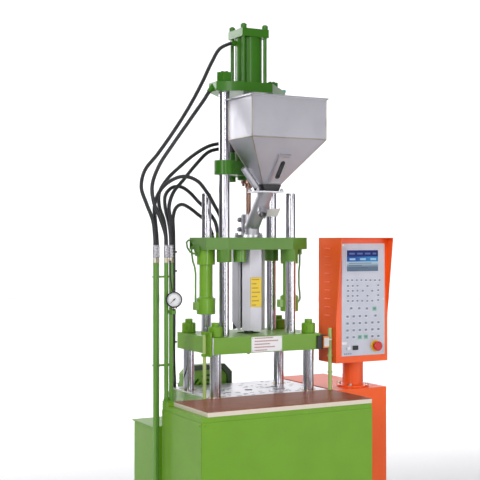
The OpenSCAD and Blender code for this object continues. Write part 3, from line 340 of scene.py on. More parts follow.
@dataclass(frozen=True)
class Enamel(Finish):
    """Sprayed machine enamel: orange peel under a coat, with a few soft clouds."""

    colour: Colour
    shade: Colour
    roughness: float = 0.34
    coat: float = 0.35
    peel: float = 0.00022
    coat_roughness: float = 0.12

    def material(self) -> bpy.types.Material:
        """Build the paint.

        Returns:
            Its material.
        """
        graph = Graph(self.name)
        clouds = graph.noise(scale=7.0, detail=3.0).ramp(0.3, 0.72)
        fine = graph.noise(scale=260.0, detail=2.0)
        rub = graph.noise(scale=34.0, detail=5.0, rough=0.62).ramp(0.56, 0.74)
        tint = graph.blend(clouds * 0.4, self.colour, self.shade)
        return graph.surface(
            Base_Color=graph.blend(rub * 0.16, tint, tuple(0.55 * c + 0.03 for c in self.colour)),
            Roughness=self.roughness + rub * 0.12 + fine * 0.05,
            Metallic=0.0,
            Coat_Weight=self.coat,
            Coat_Roughness=self.coat_roughness,
            Specular_IOR_Level=0.3,
            Normal=graph.bump(fine, depth=self.peel, strength=0.55),
        )


@dataclass(frozen=True)
class Metal(Finish):
    """Bare or plated metal with the marks of how it was worked."""

    colour: Colour
    shade: Colour
    roughness: float
    grain: Grain = Grain.NONE
    scratch: float = 0.00004
    scale: float = 900.0
    mottle: float = 0.4
    wear: float = 1.0

    def material(self) -> bpy.types.Material:
        """Build the metal.

        Returns:
            Its material.
        """
        graph = Graph(self.name)
        lines = graph.noise(scale=self.scale, detail=4.0, stretch=self.grain.value, rough=0.6)
        spots = graph.noise(scale=11.0, detail=4.0).ramp(0.35, 0.7)
        return graph.surface(
            Base_Color=graph.blend(spots * self.mottle + lines * 0.12, self.colour, self.shade),
            Roughness=self.roughness + (lines * 0.35 + spots * 0.2) * (self.wear * self.roughness),
            Metallic=1.0,
            Normal=graph.bump(lines, depth=self.scratch, strength=0.6),
        )


@dataclass(frozen=True)
class Moulded(Finish):
    """Moulded plastic or rubber with a fine grain."""

    colour: Colour
    shade: Colour
    roughness: float = 0.45
    grain: float = 0.00012
    scale: float = 1400.0

    def material(self) -> bpy.types.Material:
        """Build the plastic.

        Returns:
            Its material.
        """
        graph = Graph(self.name)
        fine = graph.noise(scale=self.scale, detail=2.0)
        soft = graph.noise(scale=18.0, detail=3.0).ramp(0.3, 0.75)
        return graph.surface(
            Base_Color=graph.blend(soft * 0.8, self.colour, self.shade),
            Roughness=self.roughness + fine * 0.12 + soft * 0.06,
            Metallic=0.0,
            Normal=graph.bump(fine, depth=self.grain, strength=0.5),
        )


@dataclass(frozen=True)
class HeatTinted(Finish):
    """Steel that heat has turned copper brown, darker towards one end."""

    hot: Colour
    cool: Colour
    low: float
    high: float

    def material(self) -> bpy.types.Material:
        """Build the tinted steel.

        Returns:
            Its material.
        """
        graph = Graph(self.name)
        _, _, z = graph.axes()
        rise = z.ramp(self.low, self.high)
        rings = graph.noise(scale=240.0, detail=3.0, stretch=(0.3, 0.3, 1.0))
        return graph.surface(
            Base_Color=graph.blend(rise * 0.7 + rings * 0.25, self.hot, self.cool),
            Roughness=0.24 + rings * 0.12,
            Metallic=1.0,
            Normal=graph.bump(rings, depth=0.00006, strength=0.5),
        )


@dataclass(frozen=True)
class Board(Finish):
    """Laminated worktop: a brown printed face with pale, dusty marks."""

    colour: Colour
    shade: Colour
    edge: Colour
    top: float

    def material(self) -> bpy.types.Material:
        """Build the board.

        Returns:
            Its material.
        """
        graph = Graph(self.name)
        _, _, z = graph.axes()
        face = z.ramp(self.top - 0.0021, self.top - 0.0012)
        grain = graph.noise(scale=26.0, detail=5.0, stretch=(0.22, 1.0, 1.0), rough=0.6)
        dust = graph.noise(scale=90.0, detail=4.0, rough=0.7).ramp(0.6, 0.72)
        wood = graph.blend(grain.ramp(0.3, 0.7), self.colour, self.shade)
        worn = graph.blend(dust * 0.22, wood, (0.72, 0.6, 0.5))
        return graph.surface(
            Base_Color=graph.blend(face, self.edge, worn),
            Roughness=0.46 + dust * 0.2,
            Metallic=0.0,
            Coat_Weight=0.03,
            Specular_IOR_Level=0.16,
            Normal=graph.bump(grain + dust * 0.3, depth=0.0001, strength=0.35),
        )


@dataclass(frozen=True)
class TwoTone(Finish):
    """Two coats on one part, parted at a height or a depth, with a worn line between them."""

    low: Colour
    high: Colour
    axis: int
    border: float
    low_metal: float = 0.0
    high_metal: float = 0.0
    low_rough: float = 0.34
    high_rough: float = 0.34

    def material(self) -> bpy.types.Material:
        """Build the two coats.

        Returns:
            Their material.
        """
        graph = Graph(self.name)
        fine = graph.noise(scale=320.0, detail=3.0)
        edge = graph.noise(scale=90.0, detail=2.0)
        place = graph.axes()[self.axis] + (edge - 0.5) * 0.0006
        side = place.ramp(self.border - 0.0003, self.border + 0.0003)
        clouds = graph.noise(scale=12.0, detail=3.0).ramp(0.3, 0.7)
        tone = graph.blend(side, self.low, self.high)
        deeper = graph.blend(side, *(tuple(0.78 * c for c in coat) for coat in (self.low, self.high)))
        return graph.surface(
            Base_Color=graph.blend(clouds * 0.3, tone, deeper),
            Roughness=self.low_rough + side * (self.high_rough - self.low_rough) + fine * 0.06,
            Metallic=self.low_metal + side * (self.high_metal - self.low_metal),
            Normal=graph.bump(fine, depth=0.0001, strength=0.5),
        )


@dataclass(frozen=True)
class PrintedPlate(Finish):
    """A plate with rows of plain bars where a real one carries its print."""

    ground: Colour
    ink: Colour
    corner: Point
    width: float
    height: float
    rows: int
    fill: float = 0.42

    def material(self) -> bpy.types.Material:
        """Build the plate.

        Returns:
            Its material.
        """
        graph = Graph(self.name)
        x, _, z = graph.axes((-self.corner[0], 0.0, -self.corner[2]))
        u, v = x / self.width, z / self.height * self.rows
        row = v.floor()
        length = 0.45 + (row * 0.618 + 0.13).fract() * 0.42
        bar = (v.fract() > 0.34) * (v.fract() < 0.34 + self.fill)
        inside = (u > 0.09) * (u < length) * (v > 0.0) * (v < float(self.rows))
        words = ((u * 17.0 + (row * 0.37).fract() * 3.0).fract() > 0.16) * bar * inside
        wear = graph.noise(scale=120.0, detail=4.0, rough=0.65)
        soft = graph.noise(scale=14.0, detail=2.0)
        ground = graph.blend(soft * 0.3, self.ground, tuple(0.86 * c for c in self.ground))
        return graph.surface(
            Base_Color=graph.blend(words * (0.82 + wear * 0.12), ground, self.ink),
            Roughness=0.32 + wear * 0.12,
            Metallic=0.0,
            Normal=graph.bump(wear, depth=0.00004, strength=0.4),
        )


@dataclass(frozen=True)
class Display(Finish):
    """A lit screen that shows nothing but coloured fields and bars."""

    corner: Point
    width: float
    height: float
    glow: float = 0.12

    def material(self) -> bpy.types.Material:
        """Build the screen.

        Returns:
            Its material.
        """
        graph = Graph(self.name)
        x, _, z = graph.axes((-self.corner[0], 0.0, -self.corner[2]))
        u, v = x / self.width, z / self.height
        field_low = graph.blend(v.ramp(0.16, 0.44), (0.10, 0.15, 0.22), (0.36, 0.47, 0.54))
        field_mid = graph.blend(u.ramp(0.1, 0.9), (0.012, 0.07, 0.30), (0.035, 0.20, 0.46))
        tone = graph.blend(v.ramp(0.455, 0.47), field_low, field_mid)
        tone = graph.blend(v.ramp(0.69, 0.705), tone, (0.006, 0.015, 0.12))
        low = (v * 9.0).fract()
        length = 0.36 + ((v * 9.0).floor() * 0.618).fract() * 0.5
        rows = (low > 0.32) * (low < 0.66) * (v < 0.42) * (u > 0.06) * (u < length)
        tone = graph.blend(rows * 0.75, tone, (0.06, 0.09, 0.16))
        heads = (v > 0.80) * (v < 0.88) * ((u * 4.0).fract() > 0.3) * (u > 0.04) * (u < 0.94)
        tone = graph.blend(heads * 0.8, tone, (0.10, 0.16, 0.42))
        middle = (v > 0.53) * (v < 0.62) * ((u * 3.0 + 0.2).fract() > 0.45)
        tone = graph.blend(middle * 0.7, tone, (0.38, 0.62, 0.78))
        lines = graph.noise(scale=1500.0, detail=1.0, stretch=(0.05, 1.0, 1.0))
        return graph.surface(
            Base_Color=tone,
            Roughness=0.2 + lines * 0.05,
            Metallic=0.0,
            Specular_IOR_Level=0.08,
            Emission_Color=tone,
            Emission_Strength=self.glow,
            Normal=graph.bump(lines, depth=0.00001, strength=0.2),
        )


GREEN = Enamel(
    "enamel_green", colour=(0.155, 0.345, 0.016), shade=(0.125, 0.285, 0.013), roughness=0.36,
    coat=0.12,
)
CARRIAGE_GREEN = Enamel(
    "enamel_carriage_green", colour=(0.10, 0.235, 0.028), shade=(0.08, 0.19, 0.022), roughness=0.38,
    coat=0.12,
)
CYLINDER_GREEN = Enamel(
    "enamel_cylinder_green", colour=(0.185, 0.40, 0.028), shade=(0.155, 0.34, 0.022), roughness=0.32,
    coat=0.6, peel=0.0001, coat_roughness=0.07,
)
DARK_GREEN = Enamel(
    "enamel_deep_green", colour=(0.036, 0.165, 0.004), shade=(0.027, 0.13, 0.003), roughness=0.34,
    coat=0.18,
)
PIPE_GREEN = Enamel(
    "enamel_pipe_green", colour=(0.12, 0.29, 0.035), shade=(0.09, 0.23, 0.027), roughness=0.3, coat=0.5,
    peel=0.00006, coat_roughness=0.07,
)
MOSS = Enamel(
    "enamel_moss", colour=(0.42, 0.54, 0.18), shade=(0.33, 0.44, 0.14), roughness=0.32, coat=0.3,
    peel=0.0001,
)
ORANGE = Enamel(
    "enamel_orange", colour=(0.93, 0.115, 0.012), shade=(0.84, 0.095, 0.009), roughness=0.36, coat=0.12,
    peel=0.00026,
)
POST_ORANGE = Enamel(
    "enamel_post_orange", colour=(0.90, 0.11, 0.012), shade=(0.82, 0.09, 0.009), roughness=0.34,
    coat=0.7, peel=0.00008, coat_roughness=0.06,
)
CHROME = Metal(
    "hard_chrome", colour=(0.56, 0.55, 0.60), shade=(0.52, 0.51, 0.56), roughness=0.19,
    grain=Grain.ALONG_Z, scratch=0.0000005, scale=30.0, mottle=0.2, wear=0.12,
)
SATIN = Metal(
    "satin_stainless", colour=(0.55, 0.54, 0.585), shade=(0.49, 0.48, 0.525), roughness=0.4,
    grain=Grain.ALONG_X, scratch=0.00005, scale=800.0, mottle=0.35,
)
TUBE_STEEL = Metal(
    "tube_stainless", colour=(0.56, 0.55, 0.585), shade=(0.48, 0.47, 0.51), roughness=0.3,
    grain=Grain.ALONG_Z, scratch=0.00003, scale=600.0,
)
GROUND = Metal(
    "ground_steel", colour=(0.66, 0.65, 0.68), shade=(0.57, 0.56, 0.60), roughness=0.25,
    grain=Grain.ALONG_X, scratch=0.00004, scale=700.0,
)
TURNED_STEEL = Metal(
    "turned_steel", colour=(0.55, 0.54, 0.57), shade=(0.42, 0.41, 0.44), roughness=0.3,
    grain=Grain.NONE, scratch=0.00004, scale=500.0,
)
WELD = Metal(
    "weld_bead", colour=(0.50, 0.46, 0.40), shade=(0.36, 0.31, 0.25), roughness=0.3, grain=Grain.NONE,
    scratch=0.00008, scale=420.0, mottle=0.8,
)
BRONZE = Metal(
    "bronze", colour=(0.62, 0.42, 0.18), shade=(0.48, 0.31, 0.12), roughness=0.32, grain=Grain.NONE,
    scratch=0.00004, scale=400.0,
)
BLACK_OXIDE = Metal(
    "black_oxide", colour=(0.045, 0.045, 0.052), shade=(0.025, 0.025, 0.03), roughness=0.42,
    grain=Grain.NONE, scratch=0.00006, scale=500.0,
)
ZINC = Metal(
    "zinc_plate", colour=(0.70, 0.66, 0.52), shade=(0.60, 0.59, 0.55), roughness=0.28, grain=Grain.NONE,
    scratch=0.00004, scale=600.0, mottle=0.8,
)
RUBBER = Moulded(
    "hose_rubber", colour=(0.012, 0.012, 0.014), shade=(0.022, 0.022, 0.026), roughness=0.36,
    grain=0.0001, scale=900.0,
)
BLACK = Moulded(
    "black_moulding", colour=(0.018, 0.018, 0.021), shade=(0.03, 0.03, 0.034), roughness=0.4,
)
RED = Moulded(
    "red_moulding", colour=(0.62, 0.02, 0.012), shade=(0.5, 0.014, 0.01), roughness=0.28, grain=0.00004,
)
YELLOW = Moulded(
    "yellow_moulding", colour=(0.86, 0.52, 0.02), shade=(0.78, 0.44, 0.015), roughness=0.4,
    grain=0.00005,
)
AMBER = Moulded(
    "amber_moulding", colour=(0.80, 0.24, 0.03), shade=(0.70, 0.20, 0.025), roughness=0.4,
    grain=0.00006,
)
TEAL = Moulded(
    "teal_cap", colour=(0.02, 0.30, 0.30), shade=(0.015, 0.24, 0.25), roughness=0.38, grain=0.00006,
)
PANEL = Moulded(
    "panel_film", colour=(0.565, 0.577, 0.658), shade=(0.525, 0.54, 0.62), roughness=0.42,
    grain=0.00005, scale=1900.0,
)
KEY = Moulded(
    "key_caps", colour=(0.66, 0.67, 0.72), shade=(0.60, 0.61, 0.67), roughness=0.38, grain=0.00003,
    scale=1700.0,
)
KEY_GREEN = Moulded(
    "green_key_caps", colour=(0.22, 0.56, 0.36), shade=(0.18, 0.50, 0.31), roughness=0.38,
    grain=0.00003, scale=1700.0,
)
KEY_INK = Moulded(
    "printed_ink", colour=(0.17, 0.21, 0.31), shade=(0.22, 0.26, 0.36), roughness=0.5, grain=0.00002,
    scale=1700.0,
)
WHITE = Moulded(
    "white_enamelled_plate", colour=(0.82, 0.82, 0.82), shade=(0.76, 0.76, 0.77), roughness=0.35,
    grain=0.00004,
)
PALE_GREY = Moulded(
    "pale_cover", colour=(0.70, 0.69, 0.66), shade=(0.62, 0.61, 0.59), roughness=0.4, grain=0.00005,
)
DARK_GLASS = Moulded(
    "dark_sight_glass", colour=(0.014, 0.014, 0.016), shade=(0.02, 0.02, 0.023), roughness=0.08,
    grain=0.00001,
)
COPPER = HeatTinted(
    "heat_tinted_screw", hot=(0.32, 0.17, 0.125), cool=(0.46, 0.34, 0.29), low=1.66, high=1.80,
)
BOARD = Board(
    "worktop_laminate", colour=(0.30, 0.085, 0.035), shade=(0.22, 0.06, 0.025), edge=(0.70, 0.62, 0.52),
    top=0.81,
)
COWL_COATS = TwoTone(
    "cowl_coats", low=(0.012, 0.045, 0.006), high=(0.155, 0.345, 0.016), axis=1, border=0.297,
)
BASE_PLATE_COATS = TwoTone(
    "hopper_foot_finish", low=(0.46, 0.455, 0.49), high=(0.02, 0.02, 0.023), axis=2, border=1.6285,
    low_metal=1.0, high_metal=0.0, low_rough=0.26, high_rough=0.4,
)
GUARD_PRINT = PrintedPlate(
    "guard_plate_print", ground=(0.83, 0.58, 0.01), ink=(0.34, 0.20, 0.02), corner=(-0.077, 0.0, 1.157),
    width=0.049, height=0.122, rows=7, fill=0.3,
)
PLATEN_PRINT = PrintedPlate(
    "platen_plate_print", ground=(0.84, 0.84, 0.85), ink=(0.40, 0.11, 0.13),
    corner=(-0.128, 0.0, 0.985), width=0.14, height=0.06, rows=5, fill=0.4,
)
SCREEN = Display("lit_screen", corner=(0.3125, 0.0, 1.301), width=0.158, height=0.088)

NODE_FINISH: dict[str, Finish] = {
    "bed_frame": GREEN, "front_panel": GREEN, "side_panels": GREEN, "levelling_feet": BLACK_OXIDE,
    "worktop": BOARD, "bolster": GROUND, "tie_bar_bushes": BRONZE, "side_cabinet": ORANGE,
    "control_post": POST_ORANGE, "post_bolts": ZINC, "oil_tank": GREEN, "pump_motor": DARK_GREEN,
    "motor_cowl": COWL_COATS, "steel_pipes": PIPE_GREEN, "pipe_ferrules": ZINC, "pressure_gauge": BLACK_OXIDE,
    "gauge_needle": BLACK, "stop_rods": MOSS, "clamp_cylinder": GREEN, "clamp_piston_rod": CHROME,
    "lower_crosshead": GREEN, "tie_bars": CHROME, "tie_bar_nuts": GREEN, "upper_platen": GREEN,
    "locating_ring": GROUND, "notice_plate": WHITE, "rod_brackets": GREEN, "limit_switch": BLACK,
    "guide_posts": CHROME, "carriage_piston_rods": CHROME, "carriage_plate": CARRIAGE_GREEN,
    "carriage_cylinders": CYLINDER_GREEN, "carriage_pipes": PIPE_GREEN, "barrel": GROUND,
    "heater_bands": TUBE_STEEL, "barrel_guard": SATIN, "feed_block": SATIN, "feed_tube": SATIN,
    "drain_flap": PALE_GREY, "hopper": SATIN, "hopper_base": BASE_PLATE_COATS, "injection_columns": CHROME,
    "top_plate": DARK_GREEN, "column_nuts": DARK_GREEN, "injection_cylinder": DARK_GREEN,
    "crosshead": DARK_GREEN, "injection_piston_rod": CHROME, "hydraulic_motor": BLACK_OXIDE, "screw": COPPER,
    "control_housing": ORANGE, "control_panel": PANEL, "estop_button": RED, "key_switch": TURNED_STEEL,
    "cable_loom": RUBBER,
}


class Finishes:
    """Makes each finish once and hands it to whatever wears it."""

    def __init__(self) -> None:
        """Start with no material made."""
        self._made: dict[str, bpy.types.Material] = {}

    def of(self, finish: Finish) -> bpy.types.Material:
        """Give a finish's material.

        Args:
            finish: One of the finish classes' objects.

        Returns:
            Its material, made at the first call.
        """
        if finish.name not in self._made:
            self._made[finish.name] = finish.material()
        return self._made[finish.name]

    def dress(self, piece: bpy.types.Object, *finishes: Finish) -> bpy.types.Object:
        """Put finishes on a piece.

        Args:
            piece: The piece.
            *finishes: One for each of its slots, in order.

        Returns:
            The piece.
        """
        while len(piece.material_slots) < len(finishes):
            piece.data.materials.append(None)
        for slot, finish in zip(piece.material_slots, finishes):
            slot.material = self.of(finish)
        return piece

    def dress_frame(self, names: Iterable[str]) -> int:
        """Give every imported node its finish.

        Args:
            names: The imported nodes' names.

        Returns:
            How many were dressed.
        """
        count = 0
        for name in names:
            finish = NODE_FINISH.get(name)
            if finish is None:
                continue
            for slot in bpy.data.objects[name].material_slots:
                slot.material = self.of(finish)
            count += 1
        return count


# Modelling


def clear_selection() -> None:
    """Leave edit mode and select nothing."""
    if bpy.context.object is not None and bpy.context.object.mode != "OBJECT":
        bpy.ops.object.mode_set(mode="OBJECT")
    bpy.ops.object.select_all(action="DESELECT")


def finished(piece: bpy.types.Object, name: str, body: str) -> bpy.types.Object:
    """Name a piece, bring its origin home and seat it on its body.

    Args:
        piece: The piece.
        name: Its name.
        body: The body that it rides on.

    Returns:
        The piece.
    """
    clear_selection()
    piece.select_set(True)
    bpy.context.view_layer.objects.active = piece
    bpy.ops.object.transform_apply(location=True, rotation=True, scale=True)
    piece.name = piece.data.name = name
    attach(piece, body)
    clear_selection()
    return piece


def smoothed(piece: bpy.types.Object, degrees: float) -> bpy.types.Object:
    """Shade a piece smooth, with sharp edges kept.

    Args:
        piece: The piece.
        degrees: The angle from which an edge stays sharp.

    Returns:
        The piece.
    """
    clear_selection()
    piece.select_set(True)
    bpy.context.view_layer.objects.active = piece
    bpy.ops.object.shade_smooth_by_angle(angle=math.radians(degrees))
    return piece


def block(name: str, low: Vector, high: Vector, ease: float = 0.0006, steps: int = 2) -> bpy.types.Object:
    """Make a block with eased edges.

    Args:
        name: The piece's name.
        low: Its lowest corner.
        high: Its highest corner.
        ease: The radius of its edges, in metres.
        steps: How many faces go round each edge.

    Returns:
        The block.
    """
    clear_selection()
    bpy.ops.mesh.primitive_cube_add(size=1.0, location=(low + high) / 2)
    piece = bpy.context.object
    piece.scale = high - low
    bpy.ops.object.transform_apply(location=True, rotation=True, scale=True)
    bevel = piece.modifiers.new("ease", "BEVEL")
    bevel.width = ease
    bevel.segments = steps
    bpy.ops.object.modifier_apply(modifier=bevel.name)
    piece.name = piece.data.name = name
    return piece


def boxed(name: str, box: Box, ease: float = 0.0006, steps: int = 2) -> bpy.types.Object:
    """Make a block with eased edges between two corners in the drawing's millimetres."""
    return block(name, at(*box[0]), at(*box[1]), ease, steps)


def turned(name: str, rings: Rings, place: Matrix, sides: int) -> bpy.types.Object:
    """Turn a piece from the rings of its profile, drawn along local Z.

    Args:
        name: The piece's name.
        rings: The radius and height of each ring, in millimetres, from the first end to the last.
        place: Where it stands.
        sides: How many faces go round it.

    Returns:
        The closed piece.
    """
    clear_selection()
    radius, height = rings[0]
    bpy.ops.mesh.primitive_circle_add(
        vertices=sides, radius=radius / 1000, fill_type="NGON", location=(0, 0, height / 1000)
    )
    piece = bpy.context.object
    bpy.ops.object.transform_apply(location=True, rotation=True, scale=True)
    bpy.ops.object.mode_set(mode="EDIT")
    bpy.ops.mesh.select_mode(type="FACE")
    bpy.ops.mesh.select_all(action="SELECT")
    for (r0, h0), (r1, h1) in zip(rings, rings[1:]):
        bpy.ops.mesh.extrude_region_move(TRANSFORM_OT_translate={"value": (0, 0, (h1 - h0) / 1000)})
        bpy.ops.transform.resize(value=(r1 / r0, r1 / r0, 1.0), center_override=(0, 0, h1 / 1000))
    bpy.ops.mesh.select_all(action="SELECT")
    bpy.ops.mesh.remove_doubles(threshold=0.000001)
    bpy.ops.mesh.normals_make_consistent(inside=False)
    bpy.ops.object.mode_set(mode="OBJECT")
    piece.matrix_world = place
    bpy.ops.object.transform_apply(location=True, rotation=True, scale=True)
    piece.name = piece.data.name = name
    return smoothed(piece, degrees=30.0)


def hoop(name: str, rings: Rings, place: Matrix, sides: int) -> bpy.types.Object:
    """Turn a ring with an open middle from the loop of its section, drawn along local Z.

    Args:
        name: The piece's name.
        rings: The radius and height of each corner of the section, in millimetres, once round.
        place: Where it stands.
        sides: How many faces go round it.

    Returns:
        The closed ring.
    """
    clear_selection()
    radius, height = rings[0]
    bpy.ops.mesh.primitive_circle_add(
        vertices=sides, radius=radius / 1000, fill_type="NOTHING", location=(0, 0, height / 1000)
    )
    piece = bpy.context.object
    bpy.ops.object.transform_apply(location=True, rotation=True, scale=True)
    bpy.ops.object.mode_set(mode="EDIT")
    bpy.ops.mesh.select_mode(type="EDGE")
    bpy.ops.mesh.select_all(action="SELECT")
    for (r0, h0), (r1, h1) in zip(rings, (*rings[1:], rings[0])):
        bpy.ops.mesh.extrude_region_move(TRANSFORM_OT_translate={"value": (0, 0, (h1 - h0) / 1000)})
        bpy.ops.transform.resize(value=(r1 / r0, r1 / r0, 1.0), center_override=(0, 0, h1 / 1000))
    bpy.ops.mesh.select_all(action="SELECT")
    bpy.ops.mesh.remove_doubles(threshold=0.000005)
    bpy.ops.mesh.normals_make_consistent(inside=False)
    bpy.ops.object.mode_set(mode="OBJECT")
    piece.matrix_world = place
    bpy.ops.object.transform_apply(location=True, rotation=True, scale=True)
    piece.name = piece.data.name = name
    return smoothed(piece, degrees=30.0)


def sunk(piece: bpy.types.Object, towards: Vector, border: float, depth: float) -> bpy.types.Object:
    """Inset the widest face that looks one way and push it in.

    Args:
        piece: The piece.
        towards: The way the face looks.
        border: The width of the rim that stays, in metres.
        depth: How far the field sinks, in metres.

    Returns:
        The piece.
    """
    clear_selection()
    piece.select_set(True)
    bpy.context.view_layer.objects.active = piece
    bpy.ops.object.mode_set(mode="EDIT")
    bpy.ops.mesh.select_mode(type="FACE")
    bpy.ops.mesh.select_all(action="DESELECT")
    bpy.ops.object.mode_set(mode="OBJECT")
    facing = [f for f in piece.data.polygons if f.normal.dot(towards) > 0.99]
    max(facing, key=lambda f: f.area).select = True
    bpy.ops.object.mode_set(mode="EDIT")
    bpy.ops.mesh.inset(thickness=border, depth=0.0)
    bpy.ops.transform.translate(value=-towards * depth)
    bpy.ops.object.mode_set(mode="OBJECT")
    return piece


def copied(piece: bpy.types.Object, name: str, shift: Vector) -> bpy.types.Object:
    """Copy a piece with a mesh of its own.

    Args:
        piece: The model.
        name: The copy's name.
        shift: How far it stands from the model.

    Returns:
        The copy.
    """
    twin = piece.copy()
    twin.data = piece.data.copy()
    bpy.context.scene.collection.objects.link(twin)
    twin.name = twin.data.name = name
    twin.data.transform(Matrix.Translation(shift))
    return twin


def repeated(piece: bpy.types.Object, name: str, shifts: Sequence[Vector]) -> bpy.types.Object:
    """Set copies of one model at several places and join them.

    Args:
        piece: The model, which is used up.
        name: The name of the joined piece.
        shifts: Where each copy stands from the model.

    Returns:
        The joined piece.
    """
    twins = [copied(piece, f"{name}_{n}", shift) for n, shift in enumerate(shifts)]
    bpy.data.objects.remove(piece)
    return joined(twins, name)


def joined(pieces: Sequence[bpy.types.Object], name: str) -> bpy.types.Object:
    """Join pieces into one.

    Args:
        pieces: The pieces.
        name: The name of the result.

    Returns:
        The joined piece.
    """
    clear_selection()
    for piece in pieces:
        piece.select_set(True)
    bpy.context.view_layer.objects.active = pieces[0]
    if len(pieces) > 1:
        bpy.ops.object.join()
    whole = bpy.context.view_layer.objects.active
    whole.name = whole.data.name = name
    return whole


def tube_along(name: str, path: Sequence[Vector], radius: float, round_steps: int = 3) -> bpy.types.Object:
    """Sweep a round tube along a path.

    Args:
        name: The tube's name.
        path: The points of its centreline.
        radius: Its radius.
        round_steps: How fine its section is.

    Returns:
        A mesh tube with closed ends.
    """
    clear_selection()
    bpy.ops.curve.primitive_nurbs_path_add(location=(0, 0, 0))
    line = bpy.context.object
    data = line.data
    data.splines.clear()
    spline = data.splines.new("POLY")
    spline.points.add(len(path) - 1)
    for point, spot in zip(spline.points, path):
        point.co = (*spot, 1.0)
    data.bevel_depth = radius
    data.bevel_resolution = round_steps
    data.use_fill_caps = True
    bpy.ops.object.convert(target="MESH")
    made = bpy.context.object
    bpy.ops.object.mode_set(mode="EDIT")
    bpy.ops.mesh.select_all(action="SELECT")
    bpy.ops.mesh.remove_doubles(threshold=0.00002)
    bpy.ops.mesh.normals_make_consistent(inside=False)
    bpy.ops.object.mode_set(mode="OBJECT")
    made.name = made.data.name = name
    return smoothed(made, degrees=50.0)


def facing_front(x: float, y: float, z: float) -> Matrix:
    """Stand a turned piece on a front face, so that its axis comes out of it."""
    return Matrix.Translation(at(x, y, z)) @ Matrix.Rotation(QUARTER_TURN, 4, "X")


def upright(x: float, y: float, z: float) -> Matrix:
    """Stand a turned piece upright."""
    return Matrix.Translation(at(x, y, z))


@dataclass
class Unit:
    """A sub-assembly that wears the shared finishes, with its sizes in the drawing's millimetres."""

    finishes: Finishes

    def done(
        self, piece: bpy.types.Object, name: str, finish: Finish, body: str, slot: str
    ) -> bpy.types.Object:
        """Dress a piece, name it and seat it on its body."""
        self.finishes.dress(piece, finish)
        return finished(piece, name, body)


# Castings and sheet parts with eased edges


@dataclass(frozen=True)
class EasedPart:
    """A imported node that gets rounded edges: its body and the radius, in millimetres."""

    node: str
    body: str
    radius: float


@dataclass
class EasedParts(Unit):
    """Plates, housings and castings whose edges catch the light, and long rods without facets."""

    slots: dict[str, str]
    parts: tuple[EasedPart, ...] = (
        EasedPart("upper_platen", "platen", 1.4),
        EasedPart("carriage_plate", "carriage", 1.4),
        EasedPart("top_plate", "carriage", 1.4),
        EasedPart("injection_cylinder", "carriage", 1.0),
        EasedPart("crosshead", "crosshead", 1.6),
        EasedPart("bolster", "base", 0.8),
        EasedPart("worktop", "base", 1.6),
        EasedPart("side_cabinet", "base", 1.8),
        EasedPart("oil_tank", "base", 1.6),
        EasedPart("control_post", "base", 1.0),
        EasedPart("motor_cowl", "base", 1.4),
        EasedPart("control_housing", "control_box", 1.6),
        EasedPart("control_panel", "control_box", 0.6),
        EasedPart("carriage_cylinders", "carriage", 1.0),
        EasedPart("rod_brackets", "platen", 0.5),
        EasedPart("limit_switch", "platen", 0.8),
        EasedPart("column_nuts", "carriage", 1.0),
        EasedPart("tie_bars", "platen", 0.0),
        EasedPart("guide_posts", "platen", 0.0),
        EasedPart("carriage_piston_rods", "platen", 0.0),
        EasedPart("injection_columns", "carriage", 0.0),
        EasedPart("steel_pipes", "base", 0.0),
    )
    merge_distance: float = 0.00001
    flat_angle: float = 0.6
    edge_angle: float = 38.0
    shade_angle: float = 24.0
    edge_faces: int = 2
    flat_weight: int = 100

    def merged(self, part: EasedPart) -> bpy.types.Object:
        """Copy a node and merge its loose triangles.

        Args:
            part: The part whose node is copied.

        Returns:
            The copy, with closed faces that point outwards.
        """
        piece = copied(bpy.data.objects[part.node], f"{part.node}_eased", Vector((0, 0, 0)))
        piece.parent = None
        for key in list(piece.keys()):
            del piece[key]
        clear_selection()
        piece.select_set(True)
        bpy.context.view_layer.objects.active = piece
        bpy.ops.object.mode_set(mode="EDIT")
        bpy.ops.mesh.select_all(action="SELECT")
        bpy.ops.mesh.remove_doubles(threshold=self.merge_distance)
        bpy.ops.mesh.dissolve_limited(angle_limit=math.radians(self.flat_angle))
        bpy.ops.mesh.normals_make_consistent(inside=False)
        bpy.ops.object.mode_set(mode="OBJECT")
        return piece

    def eased(self, part: EasedPart) -> bpy.types.Object:
        """Round a part's sharp edges and shade it by its wide faces.

        Args:
            part: What to ease.

        Returns:
            The piece that stands for the node.
        """
        piece = self.merged(part)
        if part.radius > 0:
            bevel = piece.modifiers.new("ease", "BEVEL")
            bevel.width = part.radius / 1000
            bevel.segments = self.edge_faces
            bevel.limit_method = "ANGLE"
            bevel.angle_limit = math.radians(self.edge_angle)
            bevel.use_clamp_overlap = True
            bpy.ops.object.modifier_apply(modifier=bevel.name)
        smoothed(piece, self.shade_angle)
        weigh = piece.modifiers.new("weigh", "WEIGHTED_NORMAL")
        weigh.keep_sharp = True
        weigh.weight = self.flat_weight
        bpy.ops.object.modifier_apply(modifier=weigh.name)
        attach(piece, part.body)
        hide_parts(part.node)
        piece.data.materials.clear()
        self.finishes.dress(piece, NODE_FINISH[part.node])
        return piece

    def build(self) -> list[bpy.types.Object]:
        """Ease every listed part."""
        return [self.eased(part) for part in self.parts]


# Hoses and the cable loom


@dataclass(frozen=True)
class Stretch:
    """A run of a hose between two bodies that one joint connects."""

    name: str
    start: int
    end: int
    first_body: str
    last_body: str


@dataclass(frozen=True)
class Hose:
    """A hose: its route's points in the drawing's millimetres, its stretches and its width in metres."""

    node: str
    route: tuple[Point, ...]
    stretches: tuple[Stretch, ...]
    diameter: float = 0.015
    stiffness: str = "stiff"


